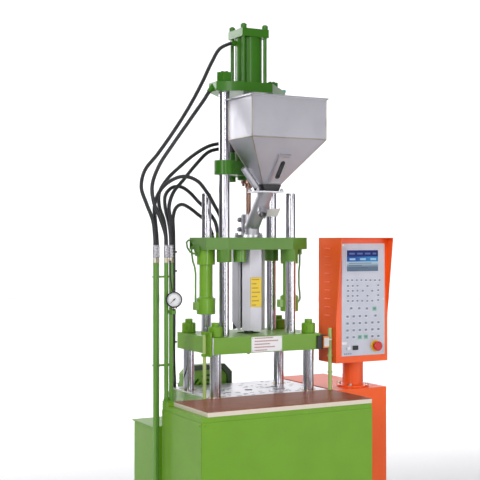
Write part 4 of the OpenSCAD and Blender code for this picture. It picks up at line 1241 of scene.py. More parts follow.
HOSES: tuple[Hose, ...] = (
    Hose(
        "hose_head",
        ((-462, -92, 1413), (-462, -88, 1452), (-461, -66, 1510), (-472, -30, 1575), (-482, -2, 1640),
         (-462, 12, 1705), (-405, 12, 1775), (-335, 10, 1870), (-265, 10, 1975), (-210, 12, 2070),
         (-163, 15, 2160), (-126, 15, 2218), (-74.3, 15, 2246)),
        (
            Stretch("head_hose_low", 0, 6, "base", "platen"),
            Stretch("head_hose_high", 6, 12, "platen", "carriage"),
        ),
    ),
    Hose(
        "hose_foot",
        ((-412, -84, 1413), (-413, -81, 1452), (-430, -70, 1515), (-452, -56, 1580), (-454, -45, 1645),
         (-422, -36, 1722), (-370, -44, 1803), (-322, -54, 1873), (-276, -60, 1938), (-238, -62, 1990),
         (-214.2, -62, 2025.2)),
        (
            Stretch("foot_hose_low", 0, 5, "base", "platen"),
            Stretch("foot_hose_high", 5, 10, "platen", "carriage"),
        ),
    ),
    Hose(
        "hose_motor_in",
        ((-399, -58, 1413), (-398, -50, 1456), (-391, -14, 1512), (-392, 26, 1565), (-380, 54, 1622),
         (-342, 62, 1678), (-286, 62, 1730), (-222, 58, 1782), (-156, 52, 1820), (-85.3, 50, 1836)),
        (
            Stretch("motor_feed_low", 0, 4, "base", "platen"),
            Stretch("motor_feed_middle", 4, 6, "platen", "carriage"),
            Stretch("motor_feed_high", 6, 9, "carriage", "crosshead"),
        ),
    ),
    Hose(
        "hose_motor_out",
        ((-391, -84, 1413), (-389, -76, 1456), (-375, -44, 1510), (-362, -2, 1568), (-332, 22, 1624),
         (-280, 38, 1676), (-215, 56, 1742), (-150, 68, 1797), (-85.3, 72, 1815)),
        (
            Stretch("motor_return_low", 0, 4, "base", "platen"),
            Stretch("motor_return_middle", 4, 6, "platen", "carriage"),
            Stretch("motor_return_high", 6, 8, "carriage", "crosshead"),
        ),
    ),
    Hose(
        "hose_carriage_up",
        ((-446, -76, 1413), (-445, -68, 1454), (-437, -36, 1510), (-428, -8, 1570), (-398, 2, 1630),
         (-350, 4, 1670), (-295, 2, 1688), (-240, -4, 1672), (-196, 0, 1630), (-156, 10, 1578),
         (-116, 27, 1522), (-100, 35, 1462.3)),
        (
            Stretch("lift_hose_low", 0, 6, "base", "platen"),
            Stretch("lift_hose_high", 6, 11, "platen", "carriage"),
        ),
    ),
    Hose(
        "hose_carriage_down",
        ((-378, -58, 1413), (-378, -50, 1455), (-370, -14, 1505), (-360, 40, 1560), (-336, 92, 1615),
         (-295, 116, 1648), (-250, 126, 1652), (-206, 134, 1630), (-168, 130, 1592), (-134, 108, 1552),
         (-115, 80, 1508), (-110, 66, 1462.3)),
        (
            Stretch("lower_hose_low", 0, 6, "base", "platen"),
            Stretch("lower_hose_high", 6, 11, "platen", "carriage"),
        ),
    ),
    Hose(
        "cable_loom",
        ((-218, 264, 661.3), (-218, 262, 740), (-224, 248, 805), (-246, 200, 844), (-290, 108, 882),
         (-332, 20, 930), (-357, -32, 995), (-362, -46, 1070), (-362, -46, 1230), (-362, -45, 1400),
         (-357, -32, 1462), (-341, 6, 1522), (-308, 50, 1562), (-262, 92, 1578), (-214, 122, 1566),
         (-170, 128, 1538), (-136, 112, 1506), (-118, 97, 1452.3)),
        (
            Stretch("loom_fixed", 0, 9, "base", "base"),
            Stretch("loom_low", 9, 13, "base", "platen"),
            Stretch("loom_high", 13, 17, "platen", "carriage"),
        ),
        stiffness="medium",
    ),
)


def between(row: Sequence[Vector], knots: Sequence[float], reach: int, t: float) -> list[Vector]:
    """Blend each point of a row with the next one.

    Args:
        row: The points.
        knots: The knot of each point, and the ones that follow.
        reach: How many knots lie between a point and the end of its blend.
        t: Where the blend is read.

    Returns:
        The blended points, one less than before.
    """
    blended = []
    for n, (a, b) in enumerate(zip(row, row[1:])):
        low, high = knots[n], knots[n + reach]
        blended.append(a * ((high - t) / (high - low)) + b * ((t - low) / (high - low)))
    return blended


def smooth_route(points: Sequence[Point], per_span: int = 10) -> tuple[list[Vector], list[int]]:
    """Pass one smooth curve through a route's points.

    The curve is a centripetal Catmull-Rom spline, so it never loops between
    two points, and its ends go on straight.

    Args:
        points: The route, in the drawing's millimetres.
        per_span: The number of steps between two of its points.

    Returns:
        The curve's points in the frame, and the place of each given point.
    """
    own = [at(*p) for p in points]
    padded = [own[0] * 2 - own[1], *own, own[-1] * 2 - own[-2]]
    curve: list[Vector] = [own[0]]
    marks = [0]
    for n in range(1, len(padded) - 2):
        spots = padded[n - 1:n + 3]
        knots = [0.0]
        for a, b in zip(spots, spots[1:]):
            knots.append(knots[-1] + math.sqrt((b - a).length))
        for step in range(1, per_span + 1):
            t = knots[1] + (knots[2] - knots[1]) * step / per_span
            row = spots
            for reach, first_knot in ((1, 0), (2, 0), (1, 1)):
                row = between(row, knots[first_knot:], reach, t)
            curve.append(row[0])
        marks.append(len(curve) - 1)
    return curve, marks


@dataclass
class HoseSet(Unit):
    """The hydraulic hoses and the cable loom between the base and the moving units."""

    hoses: tuple[Hose, ...] = HOSES

    def run_of(self, hose: Hose, stretch: Stretch, path: Sequence[Vector]) -> bpy.types.Object:
        """Make and dress one stretch of a hose.

        Args:
            hose: The hose.
            stretch: Its stretch.
            path: The points of the stretch's centreline.

        Returns:
            The stretch's piece.
        """
        piece = tube_along(stretch.name, path, hose.diameter / 2)
        self.finishes.dress(piece, RUBBER)
        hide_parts(hose.node)
        if stretch.first_body == stretch.last_body:
            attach(piece, stretch.first_body)
        else:
            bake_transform(piece)
        sum((b - a).length for a, b in zip(path, path[1:]))
        return piece

    def build(self) -> list[bpy.types.Object]:
        """Make every hose, stretch by stretch.

        Returns:
            The hoses' pieces.
        """
        pieces = []
        for hose in self.hoses:
            curve, marks = smooth_route(hose.route)
            for stretch in hose.stretches:
                path = curve[marks[stretch.start]:marks[stretch.end] + 1]
                pieces.append(self.run_of(hose, stretch, path))
        return pieces


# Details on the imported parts


@dataclass(frozen=True)
class KeyKind:
    """One kind of key: its places, its size in millimetres and what it wears."""

    name: str
    places: tuple[tuple[float, float], ...]
    width: float
    height: float
    finish: Finish


SMALL_KEYS = KeyKind(
    "small_keys",
    (
        *((368 + 23.2 * n, 1264 - 0.4 * n) for n in range(8)),
        *((x, z) for z in (1240, 1219, 1198, 1177) for x in (371, 394, 418, 524)),
        (442, 1176), (468, 1175), (493, 1175), (469, 1238), (469, 1197), (445, 1218), (493, 1217),
    ),
    width=15.0, height=13.0, finish=KEY,
)
WIDE_KEYS = KeyKind(
    "wide_keys",
    (
        (387, 1146), (427, 1145), (466, 1143),
        *((x, 1112) for x in (368, 399, 430, 461, 510)),
        *((x, z) for z in (1083, 1054) for x in (368, 399, 430, 461, 494, 525)),
        *((x, 1025) for x in (368, 399, 494, 525)),
    ),
    width=18.0, height=17.0, finish=KEY,
)
GREEN_KEYS = KeyKind(
    "green_keys", ((505, 1142), (430, 1025), (461, 1025)), width=20.0, height=18.0, finish=KEY_GREEN
)


@dataclass
class ControlFace(Unit):
    """Screen, keys, stop collar, lock and socket on the control box's front."""

    front: float = -185.0
    keys: tuple[KeyKind, ...] = (SMALL_KEYS, WIDE_KEYS, GREEN_KEYS)
    key_out: float = 1.4
    key_in: float = 0.4
    mark_out: float = 1.7
    mark_in: float = 1.0
    mark_span: tuple[float, float, float, float] = (-0.33, 0.31, -0.2, 0.32)
    screen_box: Box = ((365.0, -186.3, 1301.0), (523.0, -184.8, 1389.0))
    stop: tuple[float, float] = (507.0, 986.0)
    collar_section: Rings = (
        (12.2, 3.9), (23.4, 3.9), (24.0, 4.4), (24.0, 6.2), (23.2, 7.0), (17.5, 7.0), (12.2, 5.4),
    )
    head_section: Rings = ((19.0, 19.6), (20.4, 20.4), (20.4, 21.2), (20.0, 21.6))
    lock: tuple[float, float] = (371.0, 981.0)
    lock_section: Rings = ((8.3, 2.6), (11.4, 2.6), (11.4, 3.2), (10.6, 4.0), (9.0, 4.0), (8.3, 3.4))
    shell_box: Box = ((391.0, -191.5, 973.0), (419.0, -188.5, 991.0))
    tongue_box: Box = ((397.0, -190.9, 979.0), (413.0, -189.6, 985.0))
    tag_box: Box = ((341.0, -185.9, 997.0), (364.0, -185.0, 1007.0))
    strip_box: Box = ((351.0, -185.6, 955.0), (358.0, -184.9, 960.0))
    strip_count: int = 4
    strip_pitch: float = 10.0
    screw: tuple[float, float] = (347.0, 955.0)
    screw_rings: Rings = ((3.4, -0.2), (3.4, 0.9), (2.6, 1.5), (1.1, 1.5), (1.0, 0.7))
    screw_steps_x: tuple[float, ...] = (0.0, 204.0)
    screw_steps_z: tuple[float, ...] = (0.0, 228.0, 456.0)

    def key_field(self, kind: KeyKind) -> list[bpy.types.Object]:
        """Set one kind of key and the mark on each.

        Args:
            kind: The keys' places, size and finish.

        Returns:
            The keys' piece and the marks' piece.
        """
        x, z = kind.places[0]
        left, right, low, top = self.mark_span
        cap_low = (x - kind.width / 2, self.front - self.key_out, z - kind.height / 2)
        cap_high = (x + kind.width / 2, self.front + self.key_in, z + kind.height / 2)
        cap = boxed(kind.name, (cap_low, cap_high), ease=0.0009)
        sunk(cap, TO_FRONT, border=0.0014, depth=0.0004)
        mark_low = (x + kind.width * left, self.front - self.mark_out, z + kind.height * low)
        mark_high = (x + kind.width * right, self.front - self.mark_in, z + kind.height * top)
        mark = boxed(f"{kind.name}_mark", (mark_low, mark_high), ease=0.0002, steps=1)
        shifts = [offset(px - x, 0, pz - z) for px, pz in kind.places]
        caps = repeated(cap, kind.name, shifts)
        marks = repeated(mark, f"{kind.name}_marks", shifts)
        return [
            self.done(caps, kind.name, kind.finish, "control_box", "panel_grey"),
            self.done(marks, f"{kind.name}_marks", KEY_INK, "control_box", "panel_grey"),
        ]

    def screen(self) -> bpy.types.Object:
        """Lay the lit screen in its bezel."""
        glass = boxed("screen_glass", self.screen_box, ease=0.0008)
        return self.done(glass, "screen_glass", SCREEN, "control_box", "panel_grey")

    def front_hoop(
        self, name: str, section: Rings, spot: tuple[float, float], sides: int
    ) -> bpy.types.Object:
        """Turn a ring that lies on the box's front."""
        return hoop(name, section, facing_front(spot[0], self.front, spot[1]), sides)

    def stop_collar(self) -> bpy.types.Object:
        """Turn the yellow collar round the stop button."""
        collar = self.front_hoop("stop_collar", self.collar_section, self.stop, sides=40)
        return self.done(collar, "stop_collar", YELLOW, "control_box", "panel_grey")

    def stop_ring(self) -> bpy.types.Object:
        """Turn the raised ring round the button's head."""
        ring = self.front_hoop("stop_head_ring", self.head_section, self.stop, sides=40)
        return self.done(ring, "stop_head_ring", RED, "estop_button", "red_plastic")

    def lock_ring(self) -> bpy.types.Object:
        """Turn the bright ring round the key lock."""
        ring = self.front_hoop("lock_ring", self.lock_section, self.lock, sides=32)
        return self.done(ring, "lock_ring", TURNED_STEEL, "control_box", "black_plastic")

    def socket(self) -> bpy.types.Object:
        """Build the black programming socket: a hollow shell with a tongue in it.

        Returns:
            The socket.
        """
        shell = boxed("socket_shell", self.shell_box, ease=0.0022, steps=3)
        sunk(shell, TO_FRONT, border=0.003, depth=0.0016)
        tongue = boxed("socket_tongue", self.tongue_box)
        whole = joined([shell, tongue], "programming_socket")
        return self.done(whole, "programming_socket", BLACK, "control_box", "black_plastic")

    def tag(self) -> bpy.types.Object:
        """Lay the bare white tag."""
        tag = boxed("bare_tag", self.tag_box, ease=0.0003, steps=1)
        return self.done(tag, "bare_tag", WHITE, "control_box", "panel_grey")

    def marking_strip(self) -> bpy.types.Object:
        """Lay the row of dark bars under the tag.

        Returns:
            The row.
        """
        bar = boxed("strip", self.strip_box, ease=0.0002, steps=1)
        shifts = [offset(self.strip_pitch * n, 0, 0) for n in range(self.strip_count)]
        row = repeated(bar, "marking_strip", shifts)
        return self.done(row, "marking_strip", KEY_INK, "control_box", "panel_grey")

    def corner_screws(self) -> bpy.types.Object:
        """Set the panel's screws along its two upright edges.

        Returns:
            The screws.
        """
        place = facing_front(self.screw[0], self.front, self.screw[1])
        head = turned("panel_screws", self.screw_rings, place, sides=16)
        shifts = [offset(dx, 0, dz) for dx in self.screw_steps_x for dz in self.screw_steps_z]
        screws = repeated(head, "panel_screws", shifts)
        return self.done(screws, "panel_screws", ZINC, "control_box", "panel_grey")

    def build(self) -> list[bpy.types.Object]:
        """Make every piece of the front.

        Returns:
            The pieces.
        """
        screen = self.screen()
        key_pieces = [piece for kind in self.keys for piece in self.key_field(kind)]
        return [
            screen, *key_pieces, self.stop_collar(), self.stop_ring(), self.lock_ring(), self.socket(),
            self.tag(), self.marking_strip(), self.corner_screws(),
        ]


@dataclass
class DialGauge(Unit):
    """Dial, scale and rim of the pressure gauge on the pipes."""

    centre: Point = (-396.0, -124.0, 1201.0)
    yaw: float = -28.0
    dial_rings: Rings = ((26.8, 0.2), (26.8, 0.8), (26.2, 1.0))
    strokes: int = 31
    long_every: int = 5
    first_angle: float = 225.0
    angle_step: float = 9.0
    stroke_long: float = 19.0
    stroke_short: float = 21.6
    stroke_end: float = 24.6
    stroke_half: float = 0.42
    stroke_low: float = 0.8
    stroke_high: float = 1.5
    rim_section: Rings = ((27.2, 5.0), (31.6, 5.0), (31.6, 7.6), (30.6, 8.8), (28.2, 8.8), (27.2, 7.8))
    boss_rings: Rings = ((2.6, 4.4), (2.6, 5.0), (2.0, 5.6), (0.8, 5.8))
    nut_drop: Point = (0.0, -29.0, -7.0)
    nut_rings: Rings = ((6.4, 0.4), (8.0, 1.2), (8.0, 7.2), (6.4, 8.0))
    line_route: tuple[Point, ...] = (
        (-398, -112, 1232), (-399, -110, 1246), (-402, -104, 1285), (-403, -101, 1320), (-401, -97, 1352),
    )
    line_radius: float = 0.0026

    def place(self) -> Matrix:
        """Give the gauge's own frame, with Z out of the dial."""
        turn = Matrix.Rotation(math.radians(self.yaw), 4, "Z") @ Matrix.Rotation(QUARTER_TURN, 4, "X")
        return Matrix.Translation(at(*self.centre)) @ turn

    def dial(self) -> bpy.types.Object:
        """Turn the white dial."""
        face = turned("gauge_dial", self.dial_rings, self.place(), sides=48)
        return self.done(face, "gauge_dial", WHITE, "base", "black_plastic")

    def scale(self) -> bpy.types.Object:
        """Cut the scale's strokes over three quarters of the dial.

        Returns:
            The strokes, joined.
        """
        strokes = []
        for n in range(self.strokes):
            inner = self.stroke_short if n % self.long_every else self.stroke_long
            low = offset(inner, -self.stroke_half, self.stroke_low)
            high = offset(self.stroke_end, self.stroke_half, self.stroke_high)
            stroke = block(f"stroke_{n}", low, high, ease=0.0001, steps=1)
            turn = Matrix.Rotation(math.radians(self.first_angle - self.angle_step * n), 4, "Z")
            stroke.matrix_world = self.place() @ turn
            bpy.ops.object.transform_apply(location=True, rotation=True, scale=True)
            strokes.append(stroke)
        whole = joined(strokes, "gauge_scale")
        return self.done(whole, "gauge_scale", KEY_INK, "base", "black_plastic")

    def rim(self) -> bpy.types.Object:
        """Turn the dark rim that holds the glass."""
        rim = hoop("gauge_rim", self.rim_section, self.place(), sides=48)
        return self.done(rim, "gauge_rim", BLACK_OXIDE, "base", "black_plastic")

    def boss(self) -> bpy.types.Object:
        """Turn the black cap over the needle's pivot."""
        cap = turned("gauge_boss", self.boss_rings, self.place(), sides=20)
        return self.done(cap, "gauge_boss", BLACK, "gauge_needle", "black_plastic")

    def stem(self) -> bpy.types.Object:
        """Turn the hexagonal nut on the gauge's stem.

        Returns:
            The nut.
        """
        drop = Matrix.Translation(offset(*self.nut_drop)) @ Matrix.Rotation(QUARTER_TURN, 4, "X")
        nut = turned("gauge_stem_nut", self.nut_rings, self.place() @ drop, sides=HEXAGON)
        return self.done(nut, "gauge_stem_nut", ZINC, "base", "zinc_steel")

    def feed_line(self) -> bpy.types.Object:
        """Bend the thin black line that feeds the gauge.

        Returns:
            The line.
        """
        path, _ = smooth_route(self.line_route, per_span=6)
        line = tube_along("gauge_line", path, self.line_radius, round_steps=2)
        return self.done(line, "gauge_line", RUBBER, "base", "black_rubber")

    def build(self) -> list[bpy.types.Object]:
        """Make the gauge's pieces."""
        return [self.dial(), self.scale(), self.rim(), self.boss(), self.stem(), self.feed_line()]


@dataclass
class PipeTops(Unit):
    """Crimped hose ends on the six steel pipes, and the ties of the cable loom."""

    pipes: tuple[tuple[float, float], ...] = (
        (-462, -92), (-446, -76), (-412, -84), (-391, -84), (-399, -58), (-378, -58),
    )
    low: float = 1343.0
    nut_rings: Rings = ((7.6, 0.0), (9.0, 1.2), (9.0, 15.6), (7.6, 17.0), (7.6, 20.5))
    sleeve_foot: Rings = ((7.4, 19.5), (8.6, 21.0))
    crimp_rings: Rings = ((9.6, 23.5), (9.6, 29.0), (7.9, 30.4), (7.9, 32.8))
    crimps: int = 4
    crimp_pitch: float = 11.0
    sleeve_head: Rings = ((9.4, 68.0), (8.6, 69.6), (7.5, 69.8))
    loom: tuple[float, float] = (-362.0, -46.0)
    tie_heights: tuple[float, ...] = (1165.0, 1310.0, 1385.0, 1030.0)
    tie_section: Rings = ((7.4, -2.4), (8.7, -2.4), (8.7, 2.4), (7.4, 2.4))
    lug_box: Box = ((-358.0, -56.5, 1026.5), (-352.0, -51.0, 1033.5))

    def sleeve_profile(self) -> Rings:
        """Give the rings of one crimped sleeve, from its foot up."""
        waves = ((r, h + self.crimp_pitch * n) for n in range(self.crimps) for r, h in self.crimp_rings)
        return (*self.sleeve_foot, *waves, *self.sleeve_head)

    def hose_ends(self) -> list[bpy.types.Object]:
        """Turn one nut and one crimped sleeve, and set them on each pipe.

        Returns:
            The nuts' piece and the sleeves' piece.
        """
        x, y = self.pipes[0]
        shifts = [offset(px - x, py - y, 0) for px, py in self.pipes]
        nut = turned("swivel_nuts", self.nut_rings, upright(x, y, self.low), sides=HEXAGON)
        sleeve = turned("crimped_sleeves", self.sleeve_profile(), upright(x, y, self.low), sides=24)
        nuts = repeated(nut, "swivel_nuts", shifts)
        sleeves = repeated(sleeve, "crimped_sleeves", shifts)
        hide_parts("pipe_ferrules")
        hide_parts("pipe_ferrules")
        return [
            self.done(nuts, "swivel_nuts", ZINC, "base", "zinc_steel"),
            self.done(sleeves, "crimped_sleeves", TUBE_STEEL, "base", "zinc_steel"),
        ]

    def loom_ties(self) -> bpy.types.Object:
        """Fasten the loom with black ties, modelled at the lowest one.

        Returns:
            The ties.
        """
        first = self.tie_heights[-1]
        band = hoop("loom_ties", self.tie_section, upright(*self.loom, first), sides=24)
        lug = boxed("tie_lug", self.lug_box)
        tie = joined([band, lug], "loom_tie")
        ties = repeated(tie, "loom_ties", [offset(0, 0, height - first) for height in self.tie_heights])
        return self.done(ties, "loom_ties", BLACK, "base", "black_rubber")

    def build(self) -> list[bpy.types.Object]:
        """Make the hose ends and the ties."""
        return [*self.hose_ends(), self.loom_ties()]


@dataclass
class HopperTrim(Unit):
    """Rolled rim, weld beads, sight glass and flange bolts of the hopper."""

    left: float = -156.0
    right: float = 180.0
    front: float = -314.0
    back: float = -120.0
    seam: float = 1830.0
    rim_low: float = 1987.0
    rim_high: float = 1991.0
    rim_out: float = 7.0
    rim_wall: float = 4.0
    bead_top: float = 1988.0
    bead_low: float = 1657.0
    cone_feet: tuple[tuple[float, float], ...] = ((-28, -171), (54, -171), (-28, -119), (54, -119))
    bead_foot: float = 1.2
    bead_waist: float = 2.0
    bead_crest: float = 2.6
    ripples_upright: int = 22
    ripples_cone: int = 26
    ripples_seam: int = 40
    sight_foot: Point = (18.0, -171.0, 1655.0)
    slope_run: float = 143.0
    slope_rise: float = 175.0
    frame_box: Box = ((-25.0, -11.2, 15.0), (25.0, -8.8, 145.0))
    middle_box: Box = ((-10.0, -11.7, 46.0), (10.0, -8.9, 112.0))
    end_rings: Rings = ((10.0, 8.9), (10.0, 11.4), (9.6, 11.7))
    end_heights: tuple[float, ...] = (46.0, 112.0)
    bolt: Point = (-54.0, -179.0, 1628.0)
    bolt_rings: Rings = ((6.6, 0.2), (7.2, 0.8), (7.2, 6.0), (5.8, 7.6), (4.0, 7.6), (4.0, 10.5), (3.2, 11.2))
    bolt_steps_x: tuple[float, ...] = (0.0, 108.0)
    bolt_steps_y: tuple[float, ...] = (0.0, 68.0)
    pipe_foot: Point = (-38.0, -145.0, 1638.0)
    pipe_lean: float = -38.0
    plug_rings: Rings = ((10.6, 80.0), (10.6, 99.0), (9.8, 99.6), (8.0, 97.0))

    def rim(self) -> bpy.types.Object:
        """Roll the rim round the hopper's mouth.

        Returns:
            The rim.
        """
        low, high, wall = self.rim_low, self.rim_high, self.rim_wall
        x0, x1 = self.left - self.rim_out, self.right + self.rim_out
        y0, y1 = self.front - self.rim_out, self.back + self.rim_out
        bars = {
            "rim_front": ((x0, y0, low), (x1, y0 + wall, high)),
            "rim_back": ((x0, y1 - wall, low), (x1, y1, high)),
            "rim_left": ((x0, y0, low), (x0 + wall, y1, high)),
            "rim_right": ((x1 - wall, y0, low), (x1, y1, high)),
        }
        whole = joined([boxed(name, box, ease=0.0016, steps=3) for name, box in bars.items()], "hopper_rim")
        return self.done(whole, "hopper_rim", TUBE_STEEL, "carriage", "satin_steel")

    def bead(self, name: str, start: Vector, end: Vector, ripples: int) -> bpy.types.Object:
        """Lay one rippled bead between two points.

        Args:
            name: The bead's name.
            start: Its first end.
            end: Its last end.
            ripples: How many ripples it has.

        Returns:
            The bead.
        """
        length = (end - start).length * 1000
        pitch = length / ripples
        rings = [(self.bead_foot, 0.0)]
        for n in range(ripples):
            rings += [(self.bead_waist, pitch * n + 0.3), (self.bead_crest, pitch * n + pitch * 0.55)]
        rings.append((self.bead_foot, length))
        turn = (end - start).to_track_quat("Z", "Y").to_matrix().to_4x4()
        return turned(name, rings, Matrix.Translation(start) @ turn, sides=8)

    def welds(self) -> bpy.types.Object:
        """Run weld beads down the corners and along the two seams in view.

        Returns:
            The beads, joined.
        """
        corners = [(x, y) for y in (self.front, self.back) for x in (self.left, self.right)]
        beads = []
        for n, ((x, y), (fx, fy)) in enumerate(zip(corners, self.cone_feet)):
            top, knee, foot = at(x, y, self.bead_top), at(x, y, self.seam), at(fx, fy, self.bead_low)
            beads.append(self.bead(f"bead_{n}", top, knee, self.ripples_upright))
            beads.append(self.bead(f"bead_low_{n}", knee, foot, self.ripples_cone))
        for n, corner in enumerate((corners[1], corners[2])):
            start, end = at(*corners[0], self.seam), at(*corner, self.seam)
            beads.append(self.bead(f"seam_{n}", start, end, self.ripples_seam))
        whole = joined(beads, "hopper_welds")
        return self.done(whole, "hopper_welds", WELD, "carriage", "satin_steel")

    def sight_place(self) -> Matrix:
        """Give the sight glass's frame: X across, Y into the hopper, Z up the slope."""
        slope = math.atan2(self.slope_run, self.slope_rise)
        return Matrix.Translation(at(*self.sight_foot)) @ Matrix.Rotation(slope, 4, "X")

    def sight_glass(self) -> list[bpy.types.Object]:
        """Screw the frame of the sight glass on its raised block, with the dark glass in it.

        Returns:
            The frame and the glass.
        """
        frame = block("sight_frame", offset(*self.frame_box[0]), offset(*self.frame_box[1]))
        sunk(frame, TO_FRONT, border=0.006, depth=0.0012)
        middle = block("sight_middle", offset(*self.middle_box[0]), offset(*self.middle_box[1]), ease=0.0004)
        ends = []
        for height in self.end_heights:
            place = Matrix.Translation(offset(0, 0, height)) @ Matrix.Rotation(QUARTER_TURN, 4, "X")
            ends.append(turned(f"sight_end_{height:.0f}", self.end_rings, place, sides=32))
        glass = joined([middle, *ends], "sight_glass")
        pieces = []
        for piece, name, finish in ((frame, "sight_frame", TURNED_STEEL), (glass, "sight_glass", DARK_GLASS)):
            piece.matrix_world = self.sight_place()
            pieces.append(self.done(piece, name, finish, "carriage", "satin_steel"))
        return pieces

    def flange_bolts(self) -> bpy.types.Object:
        """Cap the four bolts of the base plate.

        Returns:
            The caps.
        """
        cap = turned("flange_bolts", self.bolt_rings, upright(*self.bolt), sides=HEXAGON)
        shifts = [offset(dx, dy, 0) for dx in self.bolt_steps_x for dy in self.bolt_steps_y]
        bolts = repeated(cap, "flange_bolts", shifts)
        return self.done(bolts, "flange_bolts", TURNED_STEEL, "carriage", "satin_steel")

    def pipe_mouth(self) -> bpy.types.Object:
        """Set the black plug in the emptying pipe's upper end.

        Returns:
            The plug.
        """
        lean = upright(*self.pipe_foot) @ Matrix.Rotation(math.radians(self.pipe_lean), 4, "Y")
        plug = turned("pipe_mouth", self.plug_rings, lean, sides=24)
        return self.done(plug, "pipe_mouth", BLACK, "carriage", "black_plastic")

    def build(self) -> list[bpy.types.Object]:
        """Make the hopper's trim."""
        return [self.rim(), self.welds(), *self.sight_glass(), self.flange_bolts(), self.pipe_mouth()]


@dataclass
class ClampTrim(Unit):
    """Plates, marks and switch on the press."""

    guard_box: Box = ((-24.5, -65.4, 1157.0), (24.5, -63.8, 1279.0))
    notice_box: Box = ((-75.6, -165.0, 985.4), (64.6, -163.6, 1044.6))
    rivet: Point = (-71.0, -165.0, 990.0)
    rivet_rings: Rings = ((2.2, 0.2), (2.2, 0.7), (1.2, 1.3))
    rivet_steps_x: tuple[float, ...] = (0.0, 131.0)
    rivet_steps_z: tuple[float, ...] = (0.0, 50.0)
    switch_box: Box = ((255.0, -179.5, 986.0), (283.0, -172.2, 1036.0))
    cover_box: Box = ((257.0, -181.0, 992.0), (281.0, -179.2, 1030.0))
    lever_box: Box = ((283.0, -177.0, 1018.0), (296.0, -171.0, 1024.0))
    strip_box: Box = ((-250.6, -166.2, 980.0), (-246.0, -162.3, 1050.0))
    slot_half: float = 3.4
    slot_low: float = 809.6
    slot_high: float = 810.25
    slots: tuple[Point, ...] = (
        (-214, -84, 16), (-188, -56, 22), (-176, -118, 18), (-160, -20, 14), (-206, 24, 20), (-182, 66, 16),
        (-150, 96, 22), (-128, -72, 18), (-112, -128, 20), (-118, 18, 16), (-96, 52, 22), (-104, 128, 18),
        (-78, -44, 14), (-62, -92, 20), (-44, -124, 16), (-50, 74, 20), (-34, 118, 16), (-22, -70, 20),
        (6, -104, 22), (24, -58, 16), (18, 62, 20), (40, 92, 16), (34, 134, 20), (62, -82, 20),
        (86, -122, 16), (78, 24, 20), (98, 66, 14), (112, -52, 20), (126, -94, 16), (120, 118, 20),
        (150, -66, 18), (168, -116, 22), (158, 44, 18), (176, 84, 20), (196, -84, 16), (222, -60, 20),
        (238, -122, 16), (216, 20, 18), (246, 62, 20), (262, -90, 18), (270, 10, 16), (266, 120, 18),
        (-232, 110, 18), (-226, 172, 20), (-120, 176, 20), (60, 168, 18), (190, 176, 20),
    )
    band: Point = (-216.0, -122.0, 934.0)
    band_section: Rings = ((22.4, 0.0), (23.2, 0.4), (23.2, 3.0), (22.4, 3.4))
    band_steps_x: tuple[float, ...] = (0.0, 432.0)
    band_steps_y: tuple[float, ...] = (0.0, 244.0)
    plug: Point = (202.0, 55.0, 2063.5)
    plug_rings: Rings = ((8.4, 0.2), (9.4, 0.8), (9.4, 8.0), (8.6, 11.0), (6.8, 11.6), (6.0, 10.4))

    def guard_label(self) -> bpy.types.Object:
        """Lay the yellow plate on the guard.

        Returns:
            The plate.
        """
        plate = boxed("guard_plate", self.guard_box)
        sunk(plate, TO_FRONT, border=0.002, depth=0.0002)
        return self.done(plate, "guard_plate", GUARD_PRINT, "carriage", "white_plate")

    def notice(self) -> bpy.types.Object:
        """Lay the pale plate on the platen's front.

        Returns:
            The plate.
        """
        plate = boxed("platen_plate", self.notice_box, ease=0.0005)
        sunk(plate, TO_FRONT, border=0.0022, depth=0.0002)
        return self.done(plate, "platen_plate", PLATEN_PRINT, "platen", "white_plate")

    def notice_rivets(self) -> bpy.types.Object:
        """Rivet the pale plate's corners.

        Returns:
            The rivets.
        """
        head = turned("plate_rivets", self.rivet_rings, facing_front(*self.rivet), sides=14)
        shifts = [offset(dx, 0, dz) for dx in self.rivet_steps_x for dz in self.rivet_steps_z]
        rivets = repeated(head, "plate_rivets", shifts)
        return self.done(rivets, "plate_rivets", TURNED_STEEL, "platen", "white_plate")

    def switch(self) -> list[bpy.types.Object]:
        """Build the limit switch's amber body, its pale cover and its lever.

        Returns:
            The three pieces.
        """
        body = boxed("switch_body", self.switch_box, ease=0.0022, steps=3)
        cover = boxed("switch_cover", self.cover_box, ease=0.0009)
        lever = boxed("switch_lever", self.lever_box, ease=0.0012)
        return [
            self.done(body, "switch_body", AMBER, "platen", "black_plastic"),
            self.done(cover, "switch_cover", PALE_GREY, "platen", "black_plastic"),
            self.done(lever, "switch_lever", TURNED_STEEL, "platen", "black_plastic"),
        ]

    def corner_highlight_strip(self) -> bpy.types.Object:
        """Lay a bright steel strip on the platen's front left corner, a painted highlight where the chamfered
        corner catches the light.
        """
        # Bright steel strip: a painted highlight along the platen's chamfered corner.
        strip = boxed("corner_strip", self.strip_box)
        return self.done(strip, "corner_strip", TUBE_STEEL, "platen", "green_paint")

    def bolster_slots(self) -> bpy.types.Object:
        """Lay dark patches over the bolster's many small slots, painted shade standing for the slots'
        hollows.

        Returns:
            The painted shade patches, joined.
        """
        # Thin black patches flush with the bolster's top: painted shade where the slots are hollow.
        marks = []
        for n, (x, y, length) in enumerate(self.slots):
            low = (x - length / 2, y - self.slot_half, self.slot_low)
            high = (x + length / 2, y + self.slot_half, self.slot_high)
            marks.append(boxed(f"slot_{n}", (low, high), ease=0.0002, steps=1))
        whole = joined(marks, "bolster_slots")
        return self.done(whole, "bolster_slots", BLACK_OXIDE, "base", "ground_steel")

    def band_rings(self) -> bpy.types.Object:
        """Turn the rings that sit low on the tie bars.

        Returns:
            The rings.
        """
        ring = hoop("tie_bar_bands", self.band_section, upright(*self.band), sides=36)
        shifts = [offset(dx, dy, 0) for dx in self.band_steps_x for dy in self.band_steps_y]
        rings = repeated(ring, "tie_bar_bands", shifts)
        return self.done(rings, "tie_bar_bands", CHROME, "platen", "chrome")

